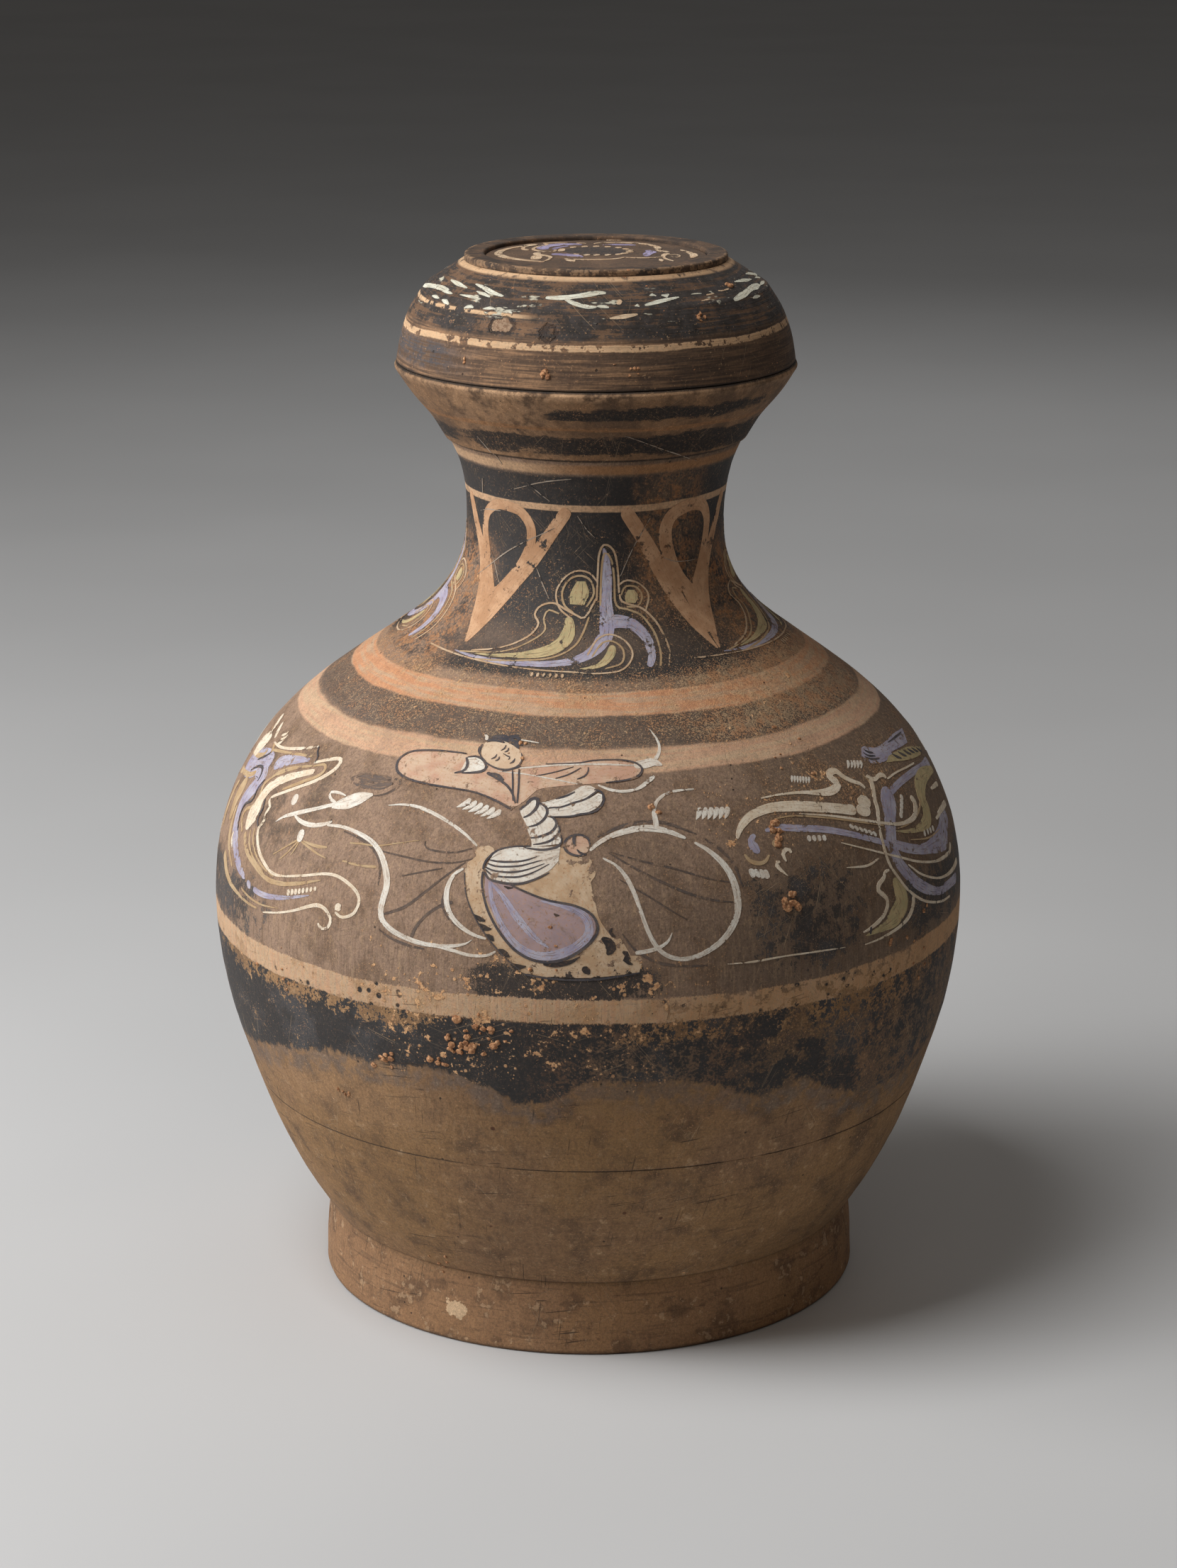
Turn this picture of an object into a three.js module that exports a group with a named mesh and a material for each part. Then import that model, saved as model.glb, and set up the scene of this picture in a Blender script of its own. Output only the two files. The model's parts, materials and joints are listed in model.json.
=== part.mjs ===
// A painted earthenware jar with a loose domed lid, built in luted members.
// Millimetres, +Z up. The origin is on the floor, under the middle of the belly.

import * as THREE from 'three';

// Heights above the floor at which one member ends and the next begins.
const FOOT_TOP = 34.5;
const BELLY_JOINT = 101;
const LEDGE = 396;
const RIM = 430;
const LID_RING_SEAT = 475;
const LID_TOP = 478;

// Outer radii of the foot.
const FOOT_RADIUS = 125;
const FOOT_WAIST_RADIUS = 124.2;
const FOOT_TOP_RADIUS = 122.5;
const FOOT_WAIST = 0.6 * FOOT_TOP;

// The outer wall from the foot to the ledge, as the heights and radii that its curve passes through.
const BODY_CURVE = [
  [FOOT_TOP, 123.6],
  [56, 136.9],
  [80, 148.6],
  [BELLY_JOINT, 156.4],
  [140, 168.2],
  [180, 173.0],
  [216, 169.2],
  [248, 155.2],
  [272, 134.8],
  [296, 103.6],
  [312, 81.1],
  [328, 66.2],
  [344, 59.5],
  [360, 58.1],
  [380, 60.1],
  [LEDGE, 66.2],
];

// The collar flares from just outside the neck to the rim.
const COLLAR_CURVE = [
  [LEDGE, 67.8],
  [404, 72.3],
  [416, 82.3],
  [428, 90.4],
];

// The dome of the lid, from its lower edge to the seat of the ring.
const LID_GAP = 0.3;
const LID_EDGE = RIM + LID_GAP;
const LID_CURVE = [
  [LID_EDGE, 89.4],
  [440, 87.8],
  [452, 83.8],
  [460, 79.6],
  [466, 74.2],
  [471, 66.3],
  [LID_RING_SEAT, 59.0],
];

// Walls, floor and edges.
const FOOT_WALL = 10.5;
const BODY_WALL = 9;
const NECK_WALL = 7.5;
const COLLAR_WALL = 8;
const LID_WALL = 7.5;
const FLOOR_UNDERSIDE = 30.5;
const FLOOR_THICKNESS = 12;
const FLOOR_SAG = 1;
const SAG_SHARE = 0.6;
const EDGE_CHAMFER = 1.2;
const RIM_ROUND = 2;

// Where the floor turns up into the foot and into the wall, as offsets from the inner edge of the foot's top.
const FOOT_SEAT_INSET = 4;
const INSIDE_CORNER = { inset: 12, rise: 1.2, outset: 2, height: 5 };

// The inside of the lid, from just above the flange to just under the crown.
const LID_INSIDE = [
  [436.5, 74],
  [441, 77],
  [450, 75.5],
  [461, 66],
];
const CROWN_INSET = 6;
const CROWN_FALL = 1.5;

// The flange under the lid, which keeps it centred in the mouth.
const FLANGE_ROOT = 434;
const FLANGE_DEPTH = 9;
const FLANGE_RADIUS = 75;
const FLANGE_TIP_RADIUS = 71;
const FLANGE_WALL = 8;

// The ring on the lid.
const RING_OUTER_RADIUS = 58.6;
const RING_INNER_RADIUS = 49.7;
const BOSS_RADIUS = 49.4;
const BOSS_HEIGHT = 1.1;

// The neck, the mouth and the lid stand a little to one side of the belly.
const LEAN = 3.5;
const LEAN_START = 250;
const LEAN_END = 390;

const SEGMENTS = 60;
const CURVE_STEP = 12;

// A smooth curve through knots of [height, radius], as a function of the height.
function curveThrough(knots) {
  const slope = (i) => {
    const before = knots[Math.max(i - 1, 0)];
    const after = knots[Math.min(i + 1, knots.length - 1)];
    return (after[1] - before[1]) / (after[0] - before[0]);
  };
  return (height) => {
    let i = 0;
    while (i < knots.length - 2 && height > knots[i + 1][0]) i += 1;
    const [low, lowRadius] = knots[i];
    const [high, highRadius] = knots[i + 1];
    const span = high - low;
    const t = (height - low) / span;
    return (
      lowRadius * (1 + 2 * t) * (1 - t) ** 2 +
      highRadius * t * t * (3 - 2 * t) +
      slope(i) * span * t * (1 - t) ** 2 -
      slope(i + 1) * span * t * t * (1 - t)
    );
  };
}

// Profile points are Vector2(radius, height). This one walks up the outer face of a wall.
function outerFace(radiusAt, from, to) {
  const steps = Math.max(2, Math.round((to - from) / CURVE_STEP));
  const points = [];
  for (let i = 0; i <= steps; i += 1) {
    const height = from + ((to - from) * i) / steps;
    points.push(new THREE.Vector2(radiusAt(height), height));
  }
  return points;
}

// The inner face of the same wall: each point goes in along the normal, and the ends keep their heights.
function innerFace(radiusAt, from, to, wallAt) {
  const nudge = 0.5;
  return outerFace(radiusAt, from, to).map((point, i, all) => {
    const slope = (radiusAt(point.y + nudge) - radiusAt(point.y - nudge)) / (2 * nudge);
    const length = Math.hypot(1, slope);
    const wall = wallAt(point.y);
    if (i === 0 || i === all.length - 1) {
      return new THREE.Vector2(point.x - wall * length, point.y);
    }
    return new THREE.Vector2(point.x - wall / length, point.y + (wall * slope) / length);
  });
}

function leanAt(height) {
  return LEAN * THREE.MathUtils.smoothstep(height, LEAN_START, LEAN_END);
}

// Turns a closed profile round the axis, stands it up along +Z and leans it.
function turned(points) {
  const geometry = new THREE.LatheGeometry(points, SEGMENTS);
  geometry.rotateX(Math.PI / 2);
  const position = geometry.attributes.position;
  for (let i = 0; i < position.count; i += 1) {
    position.setX(i, position.getX(i) + leanAt(position.getZ(i)));
  }
  return geometry;
}

function closed(points) {
  return [...points, points[0].clone()];
}

const point = (radius, height) => new THREE.Vector2(radius, height);

const bodyRadius = curveThrough(BODY_CURVE);
const collarRadius = curveThrough(COLLAR_CURVE);
const lidRadius = curveThrough(LID_CURVE);
const bodyWall = (height) =>
  BODY_WALL + (NECK_WALL - BODY_WALL) * THREE.MathUtils.smoothstep(height, LEAN_START, LEDGE);

// The ring that the jar stands on, open underneath.
function footRing() {
  return turned(
    closed([
      point(FOOT_RADIUS - EDGE_CHAMFER, 0),
      point(FOOT_RADIUS, EDGE_CHAMFER),
      point(FOOT_WAIST_RADIUS, FOOT_WAIST),
      point(FOOT_TOP_RADIUS, FOOT_TOP),
      point(FOOT_TOP_RADIUS - FOOT_WALL, FOOT_TOP),
      point(FOOT_WAIST_RADIUS - FOOT_WALL, FOOT_WAIST),
      point(FOOT_RADIUS - FOOT_WALL, EDGE_CHAMFER),
      point(FOOT_RADIUS - FOOT_WALL + EDGE_CHAMFER, 0),
    ]),
  );
}

// The bowl: it sits on the foot ring, its floor sags slightly into the ring, and it ends at the joint on the belly.
function lowerBody() {
  const outer = outerFace(bodyRadius, FOOT_TOP, BELLY_JOINT);
  const inner = innerFace(bodyRadius, FOOT_TOP, BELLY_JOINT, bodyWall)
    .filter((p) => p.y > FLOOR_UNDERSIDE + FLOOR_THICKNESS + BODY_WALL)
    .reverse();
  const floorTop = FLOOR_UNDERSIDE + FLOOR_THICKNESS;
  const floorRadius = FOOT_TOP_RADIUS - FOOT_WALL;
  return turned([
    point(0, FLOOR_UNDERSIDE),
    point(floorRadius * SAG_SHARE, FLOOR_UNDERSIDE + FLOOR_SAG),
    point(floorRadius - FOOT_SEAT_INSET, FOOT_TOP),
    ...outer,
    ...inner,
    point(floorRadius + INSIDE_CORNER.outset, floorTop + INSIDE_CORNER.height),
    point(floorRadius - INSIDE_CORNER.inset, floorTop + INSIDE_CORNER.rise),
    point(0, floorTop),
  ]);
}

// Upper belly, shoulder and neck.
function upperBody() {
  const outer = outerFace(bodyRadius, BELLY_JOINT, LEDGE);
  const inner = innerFace(bodyRadius, BELLY_JOINT, LEDGE, bodyWall).reverse();
  return turned(closed([...outer, ...inner]));
}

// The flared collar. Its lower edge stands out past the neck, and its rim is flat on top.
function mouthCollar() {
  const flareTop = COLLAR_CURVE[COLLAR_CURVE.length - 1][0];
  const outer = outerFace(collarRadius, LEDGE, flareTop);
  const inner = innerFace(collarRadius, LEDGE, flareTop, () => COLLAR_WALL).reverse();
  const rimRadius = collarRadius(flareTop);
  const innerRim = inner.shift().x;
  return turned(
    closed([...outer, point(rimRadius - RIM_ROUND / 2, RIM), point(innerRim + RIM_ROUND / 2, RIM), ...inner]),
  );
}

// The lid: a shallow hollow dome with a flat seat, a tapered flange below it and a low boss inside its ring.
function lid() {
  const dome = outerFace(lidRadius, LID_EDGE, LID_RING_SEAT);
  const flangeTip = RIM - FLANGE_DEPTH;
  const innerTop = LID_RING_SEAT + BOSS_HEIGHT - LID_WALL;
  return turned([
    point(0, innerTop),
    point(BOSS_RADIUS - CROWN_INSET, innerTop - CROWN_FALL),
    ...LID_INSIDE.map(([height, radius]) => point(radius, height)).reverse(),
    point(FLANGE_RADIUS - FLANGE_WALL, FLANGE_ROOT),
    point(FLANGE_TIP_RADIUS - FLANGE_WALL, flangeTip + EDGE_CHAMFER),
    point(FLANGE_TIP_RADIUS - FLANGE_WALL + EDGE_CHAMFER, flangeTip),
    point(FLANGE_TIP_RADIUS - EDGE_CHAMFER, flangeTip),
    point(FLANGE_TIP_RADIUS, flangeTip + EDGE_CHAMFER),
    point(FLANGE_RADIUS, LID_EDGE),
    ...dome,
    point(BOSS_RADIUS, LID_RING_SEAT),
    point(BOSS_RADIUS, LID_RING_SEAT + BOSS_HEIGHT),
    point(0, LID_RING_SEAT + BOSS_HEIGHT),
  ]);
}

// The flat ring that is luted round the top of the lid.
function lidRing() {
  return turned(
    closed([
      point(RING_INNER_RADIUS, LID_RING_SEAT),
      point(RING_OUTER_RADIUS, LID_RING_SEAT),
      point(RING_OUTER_RADIUS, LID_TOP - EDGE_CHAMFER / 2),
      point(RING_OUTER_RADIUS - EDGE_CHAMFER / 2, LID_TOP),
      point(RING_INNER_RADIUS + EDGE_CHAMFER / 2, LID_TOP),
      point(RING_INNER_RADIUS, LID_TOP - EDGE_CHAMFER / 2),
    ]),
  );
}

const clay = new THREE.MeshStandardMaterial({ color: 0x6e5343, roughness: 0.85, metalness: 0 });
const sootyClay = new THREE.MeshStandardMaterial({ color: 0x3d302a, roughness: 0.88, metalness: 0 });
const paintedClay = new THREE.MeshStandardMaterial({ color: 0x7b5e50, roughness: 0.85, metalness: 0 });

const jar = new THREE.Group();
for (const [name, geometry, material] of [
  ['foot_ring', footRing(), clay],
  ['lower_body', lowerBody(), clay],
  ['upper_body', upperBody(), paintedClay],
  ['mouth_collar', mouthCollar(), sootyClay],
  ['lid', lid(), paintedClay],
  ['lid_ring', lidRing(), clay],
]) {
  const mesh = new THREE.Mesh(geometry, material);
  mesh.name = name;
  jar.add(mesh);
}

export default jar;
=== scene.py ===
# %% [markdown]
# # A painted earthenware jar with a lid
#
# The real jar is grey-brown fired clay. A potter built it in members, luted them together, brushed black
# slip and cream lines round it, and a painter added triangles, clouds, a dancer and ribbons in mineral
# colours. This lesson turns each member again with a fine wall, gives the clay its dirt and wear along with
# a few patches of painted highlight and shade, and lays the painting on as thin films. The imported model
# comes first, because every piece takes its place and its size from it.

# %% The frame
import json
import math
import random

import bmesh
import bpy
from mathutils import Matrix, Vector, noise


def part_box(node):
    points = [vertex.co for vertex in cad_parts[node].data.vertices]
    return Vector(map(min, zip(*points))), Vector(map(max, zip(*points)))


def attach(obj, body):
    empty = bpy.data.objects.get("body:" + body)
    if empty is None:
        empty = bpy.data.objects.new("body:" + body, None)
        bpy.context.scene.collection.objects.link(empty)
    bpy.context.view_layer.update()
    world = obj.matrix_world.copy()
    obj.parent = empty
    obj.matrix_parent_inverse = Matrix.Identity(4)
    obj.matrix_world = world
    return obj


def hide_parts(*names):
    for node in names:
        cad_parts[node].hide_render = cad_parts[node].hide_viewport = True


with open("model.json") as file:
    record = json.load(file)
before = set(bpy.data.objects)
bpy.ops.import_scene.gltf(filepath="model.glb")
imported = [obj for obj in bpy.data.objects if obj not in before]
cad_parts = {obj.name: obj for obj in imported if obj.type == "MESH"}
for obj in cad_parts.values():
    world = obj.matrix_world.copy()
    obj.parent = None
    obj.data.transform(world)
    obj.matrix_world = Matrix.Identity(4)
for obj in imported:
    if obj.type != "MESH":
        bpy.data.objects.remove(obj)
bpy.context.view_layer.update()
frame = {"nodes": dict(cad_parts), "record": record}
MM = 0.001

# %% [markdown]
# ## Camera, light and floor
#
# The camera stands 1.67 m in front of the jar and 0.71 m up, and looks down by 16 degrees, which makes each
# painted circle the same ellipse as in the picture. Two soft lamps at the left, one low and one high, do
# most of the work, as studio softboxes do. A weak one fills the right side and one behind draws the rim.
# The floor is only the setting.

# %% Camera
CAMERA_DISTANCE = 1.6684
CAMERA_HEIGHT = 0.7117
CAMERA_PITCH = math.radians(16.075)
FOCAL_PIXELS = 5282
PICTURE_HEIGHT = 2212
SENSOR = 36

bpy.ops.object.camera_add(
    location=(0, -CAMERA_DISTANCE, CAMERA_HEIGHT), rotation=(math.pi / 2 - CAMERA_PITCH, 0, 0)
)
camera = bpy.context.object
camera.name = "camera"
camera.data.sensor_width = SENSOR
camera.data.lens = FOCAL_PIXELS / PICTURE_HEIGHT * SENSOR
bpy.context.scene.camera = camera

# %% Lamps
JAR_MIDDLE = Vector((0, 0, 0.24))


def lamp(name, azimuth, elevation, distance, size, watts):
    """A square soft lamp that looks at the jar's middle; azimuth 0 is the camera's side, left is negative."""
    a, e = math.radians(azimuth), math.radians(elevation)
    way = Vector((math.sin(a) * math.cos(e), -math.cos(a) * math.cos(e), math.sin(e)))
    place = JAR_MIDDLE + distance * way
    bpy.ops.object.light_add(type="AREA", location=place)
    made = bpy.context.object
    made.name = name
    made.data.size = size
    made.data.energy = watts
    made.rotation_euler = (JAR_MIDDLE - place).to_track_quat("-Z", "Y").to_euler()
    return made


lamp("softbox_left", azimuth=-84, elevation=18, distance=2.0, size=1.0, watts=27)
lamp("softbox_above", azimuth=-58, elevation=60, distance=2.0, size=1.0, watts=30)
fill = lamp("fill_right", azimuth=45, elevation=55, distance=2.0, size=1.4, watts=2.8)
fill.data.color = (1.0, 0.88, 0.76)
lamp("rim_behind", azimuth=166, elevation=32, distance=2.6, size=1.8, watts=5)
bpy.context.scene.view_settings.view_transform = "Standard"
print("camera at", CAMERA_DISTANCE, "m, lens", round(camera.data.lens, 1), "mm, 4 lamps")

# %% [markdown]
# ## Sums for shaders
#
# A shader is a sum of masks and colours. Written as nodes it is long, so a small class wraps one output
# socket and lets Python's signs add the nodes: `1 - mask` makes a Subtract node. Everything else goes
# through `node`.

# %% The socket class
class Flow:
    """One output socket of a node tree. Sums of it add Math or Vector Math nodes."""

    def __init__(self, tree, socket=None):
        self.tree = tree
        self.socket = socket

    def node(self, kind, settings=None, inputs=None, output=0):
        """Adds a node of that kind; its settings are set first, and then its sockets get values or links."""
        made = self.tree.nodes.new("ShaderNode" + kind)
        for key, value in (settings or {}).items():
            if key == "stops":
                ramp = made.color_ramp
                while len(ramp.elements) < len(value):
                    ramp.elements.new(0.5)
                for element, (place, colour) in zip(ramp.elements, value):
                    element.position = place
                    element.color = colour
            else:
                setattr(made, key, value)
        for key, value in (inputs or {}).items():
            if isinstance(value, Flow):
                self.tree.links.new(value.socket, made.inputs[key])
            else:
                made.inputs[key].default_value = value
        return Flow(self.tree, made.outputs[output])

    def sum(self, operation, first, second=0.0):
        vector = any(isinstance(v, Flow) and v.socket.type in {"VECTOR", "RGBA"} for v in (first, second))
        if not vector:
            return self.node("Math", {"operation": operation}, {0: first, 1: second})
        first, second = (v if isinstance(v, Flow) else (v, v, v) for v in (first, second))
        return self.node("VectorMath", {"operation": operation}, {0: first, 1: second})

    def __add__(self, other):
        return self.sum("ADD", self, other)

    def __radd__(self, other):
        return self.sum("ADD", other, self)

    def __sub__(self, other):
        return self.sum("SUBTRACT", self, other)

    def __rsub__(self, other):
        return self.sum("SUBTRACT", other, self)

    def __mul__(self, other):
        return self.sum("MULTIPLY", self, other)

    def __rmul__(self, other):
        return self.sum("MULTIPLY", other, self)

    def __truediv__(self, other):
        return self.sum("DIVIDE", self, other)

    def __pow__(self, other):
        return self.sum("POWER", self, other)

    def other(self, output):
        """Another output of the node that this one comes from."""
        return Flow(self.tree, self.socket.node.outputs[output])

    def clip(self):
        return self.node("Clamp", None, {0: self})

    def smooth(self, low, high):
        """0 below low, 1 above high, and a soft step between them; low may be the larger."""
        settings = {"interpolation_type": "SMOOTHSTEP"}
        if low <= high:
            return self.node("MapRange", settings, {0: self, 1: low, 2: high, 3: 0.0, 4: 1.0})
        return self.node("MapRange", settings, {0: self, 1: high, 2: low, 3: 1.0, 4: 0.0})

    def times(self, x, y, z):
        """This vector stretched along each axis."""
        return self.node("VectorMath", {"operation": "MULTIPLY"}, {0: self, 1: (x, y, z)})

    def along(self, x, y, z):
        """How far this vector reaches in a direction."""
        return self.node("VectorMath", {"operation": "DOT_PRODUCT"}, {0: self, 1: (x, y, z)}, output=1)

    def grain(self, size, detail=2.0, rough=0.5, shift=0.0):
        """Noise on this vector, which is in millimetres; size is the width of its spots."""
        moved = self + shift if shift else self
        values = {0: moved, "Scale": 1 / size, "Detail": detail, "Roughness": rough}
        return self.node("TexNoise", None, values)

    def between(self, low, high, soft):
        """1 from low to high, with soft ends."""
        return self.smooth(low - soft, low + soft) * self.smooth(high + soft, high - soft)

    def dots(self, apart, radius, share, shift=0.0):
        """Round dots on this vector, about that many millimetres apart, on a share of the places."""
        moved = self + shift if shift else self
        cells = self.node("TexVoronoi", None, {0: moved, "Scale": 1 / apart})
        chance = cells.other(1).along(1, 0, 0)
        soft_dots = (cells * apart).smooth(radius * 1.25, radius * 0.75)
        return soft_dots * chance.smooth(share + 0.01, share - 0.01)

    def larger(self, other):
        return self.sum("MAXIMUM", self, other)

    def streaks(self, turn, width, long, shift):
        """Thin straight scratches on this vector, turned by an angle in degrees in its first two axes."""
        settings = {"rotation_type": "Z_AXIS"}
        turned = self.node("VectorRotate", settings, {0: self, "Angle": math.radians(turn)})
        lines = turned.times(1, width / long, 1).grain(width, 1, 0.5, shift)
        return lines.smooth(0.695, 0.73) * self.grain(30, 1, 0.5, shift).smooth(0.5, 0.62)

    def curve(self, low, high, stops):
        """A line through the given stops for values from low to high; stops are (value, result from 0 to 1).
        """
        place = self.node("MapRange", None, {0: self, 1: low, 2: high, 3: 0.0, 4: 1.0})
        points = [((value - low) / (high - low), (result, result, result, 1)) for value, result in stops]
        return self.node("ValToRGB", {"stops": points}, {0: place})

    def place(self):
        """The place on the piece in millimetres, from Texture Coordinate's Object output."""
        return self.node("TexCoord", output=3) * 1000


def colour(red, green, blue):
    """An sRGB colour, as read in a picture from 0 to 255, as the linear colour that shaders use."""
    def linear(v):
        v /= 255
        return v / 12.92 if v <= 0.04045 else ((v + 0.055) / 1.055) ** 2.4

    return (linear(red), linear(green), linear(blue), 1.0)


def mix(mask, first, second):
    """The first colour where the mask is 0, the second where it is 1; 6, 7 and 2 are Mix's colour sockets."""
    source = next(v for v in (mask, first, second) if isinstance(v, Flow))
    return source.node("Mix", {"data_type": "RGBA"}, {0: mask, 6: first, 7: second}, output=2)


# %% [markdown]
# ## The floor
#
# The floor is one large plane with a mottle too faint to see as a pattern. The world adds a little grey
# light, and the camera sees it lighter than it is, so that no view ends in a black sky.

# %% Floor and world
FLOOR_SIZE = 40
FLOOR_MOTTLE = 400
WORLD_LIGHT = (0.06, 0.057, 0.054, 1)
WORLD_SEEN = (0.3, 0.3, 0.3, 1)


def studio():
    bpy.ops.mesh.primitive_plane_add(size=FLOOR_SIZE)
    floor = bpy.context.object
    floor.name = "floor"
    material = bpy.data.materials.new("pale_floor")
    material.use_nodes = True
    shader = material.node_tree.nodes["Principled BSDF"]
    start = Flow(material.node_tree)
    place = start.place()
    tint = mix(place.grain(FLOOR_MOTTLE).smooth(0.3, 0.7), colour(199, 199, 199), colour(203, 203, 203))
    material.node_tree.links.new(tint.socket, shader.inputs["Base Color"])
    shader.inputs["Roughness"].default_value = 0.9
    floor.data.materials.append(material)

    world = bpy.data.worlds.new("studio")
    bpy.context.scene.world = world
    world.use_nodes = True
    start = Flow(world.node_tree)
    background = world.node_tree.nodes["Background"]
    sky = mix(start.node("LightPath", output=0), WORLD_LIGHT, WORLD_SEEN)
    world.node_tree.links.new(sky.socket, background.inputs["Color"])
    background.inputs["Strength"].default_value = 1.0


studio()

# %% [markdown]
# ## Reading the potter's profile from the frame
#
# Each CAD member is a turned solid, so the points of its mesh in one half plane are its profile. Reading
# them there, instead of writing them again, means that the fine piece can't drift from the frame. The neck
# leans a little to one side, so the half plane is the one through the leaning axis.

# %% Profile of a member
LEAN = 3.5 * MM
LEAN_START = 250 * MM
LEAN_END = 390 * MM
SAME_PLACE = 1e-6
NEAR_PLANE = 2e-5


def lean(height):
    """How far the axis stands to the right at that height, in metres."""
    t = min(1, max(0, (height - LEAN_START) / (LEAN_END - LEAN_START)))
    return LEAN * t * t * (3 - 2 * t)


def profile(node):
    """The node's outline as (radius, height) points in order, and False where it ends on the axis."""
    mesh = bmesh.new()
    mesh.from_mesh(frame["nodes"][node].data)
    bmesh.ops.remove_doubles(mesh, verts=mesh.verts, dist=SAME_PLACE)
    cut = {v for v in mesh.verts if abs(v.co.x - lean(v.co.z)) < NEAR_PLANE and v.co.y < SAME_PLACE}
    on_axis = [v for v in cut if v.co.y > -SAME_PLACE]
    here = min(on_axis or cut, key=lambda v: (round(v.co.z, 5), v.co.y))
    walked = [here]
    while True:
        nexts = [e.other_vert(here) for e in here.link_edges]
        nexts = [v for v in nexts if v in cut and v not in walked]
        if not nexts:
            break
        here = min(nexts, key=lambda v: v.co.y)
        walked.append(here)
    points = [Vector((max(0.0, -v.co.y), v.co.z)) for v in walked]
    mesh.free()
    return points, not on_axis


# %% [markdown]
# ## A finer profile
#
# The frame's profile has a point every 12 mm, which shows as facets. A finer one keeps the sharp corners,
# lays a Catmull-Rom curve through the points between two corners, and rounds each corner by as much as a
# wet sponge would.

# %% Finer profile
SHARP = math.radians(25)
SAMPLES = 4
CLEAR_OF_CORNER = 1.4
CORNER_STOPS = (0.3, 0.7)
TOO_CLOSE = 1e-5


def catmull_rom(points, t):
    """The point at t on a smooth line through all the points; t runs from 0 to their number less one."""
    i = min(int(t), len(points) - 2)
    f = t - i
    a, b = points[i], points[i + 1]
    before = points[i - 1] if i > 0 else a * 2 - b
    after = points[i + 2] if i + 2 < len(points) else b * 2 - a
    return (b - before) * (0.5 * f * (1 - f) ** 2) + a * ((1 + 2 * f) * (1 - f) ** 2) + \
        b * (f * f * (3 - 2 * f)) - (after - a) * (0.5 * f * f * (1 - f))


def turn_at(points, i):
    before = points[i] - points[i - 1]
    after = points[(i + 1) % len(points)] - points[i]
    return before.angle(after)


def fine_profile(points, closed, spacing, rounding):
    """The same line with a point about every spacing; rounding gives a corner's radius from its own place."""
    count = len(points)
    corners = [i for i in range(count) if (closed or 0 < i < count - 1) and turn_at(points, i) > SHARP]
    if closed:
        points = points[corners[0]:] + points[:corners[0]] + [points[corners[0]]]
        corners = [i - corners[0] for i in corners] + [count]
    else:
        corners = [0] + corners + [count - 1]
    fine = []
    for start, end in zip(corners, corners[1:]):
        run = points[start:end + 1]
        length = sum((b - a).length for a, b in zip(run, run[1:]))
        cut_start = rounding(run[0]) if closed or start > 0 else 0
        cut_end = rounding(run[-1]) if closed or end < count - 1 else 0
        steps = max(1, round(length / spacing))
        count_all = SAMPLES * steps
        samples = [catmull_rom(run, (len(run) - 1) * k / count_all) for k in range(count_all + 1)]
        walked, kept = 0.0, []
        for k, here in enumerate(samples):
            walked += (here - samples[k - 1]).length if k else 0
            inside = cut_start * CLEAR_OF_CORNER < walked < length - cut_end * CLEAR_OF_CORNER
            if k % SAMPLES == 0 and inside:
                kept.append(here)
        first, last = samples[0], samples[-1]
        begin = first + (samples[1] - first).normalized() * min(cut_start, length / 3)
        finish = last + (samples[-2] - last).normalized() * min(cut_end, length / 3)
        fine.append([begin] + kept + [finish])
    joined = []
    for k, run in enumerate(fine):
        joined += run
        if closed or k < len(fine) - 1:
            corner = points[corners[k + 1]]
            other = fine[(k + 1) % len(fine)][0]
            joined += [(run[-1] * (1 - t) + corner * t) * (1 - t) + (corner * (1 - t) + other * t) * t
                       for t in CORNER_STOPS]
    return [p for k, p in enumerate(joined) if k == 0 or (p - joined[k - 1]).length > TOO_CLOSE]


# %% [markdown]
# ## The hand in the clay
#
# A thrown wall is never a perfect turned surface. It is a little out of round, the fingers leave faint
# rings, and the scraping of the leather-hard clay leaves a fine unevenness. One function of the place gives
# all three, so that two members that meet move together and their joint stays closed.

# %% Unevenness of the wall
# Out of round, finger rings and scraping: changes round the jar, length in height and depth in mm
UNEVENNESS = ((1.3, 150, 0.7), (0.4, 6, 0.14), (11, 14, 0.12))


def wobble(angle, height):
    """How far the wall stands out from its turned line at that place, in metres."""
    east, north, up = math.cos(angle), math.sin(angle), height / MM
    out = 0.0
    for changes, length, depth in UNEVENNESS:
        out += depth * noise.noise(Vector((east * changes, north * changes, up / length)))
    return out * MM


# %% [markdown]
# ## Turning a member
#
# A lathe is the natural way to make a pot in Blender too. One vertex is extruded from point to point along
# the profile, the line is spun round the upright axis, and the seam and the poles are merged. Then each
# vertex is moved by the unevenness, and by the lean of the neck.

# %% Turning
SEAM = 5e-6
EVEN_NEAR_AXIS = 40 * MM


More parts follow.
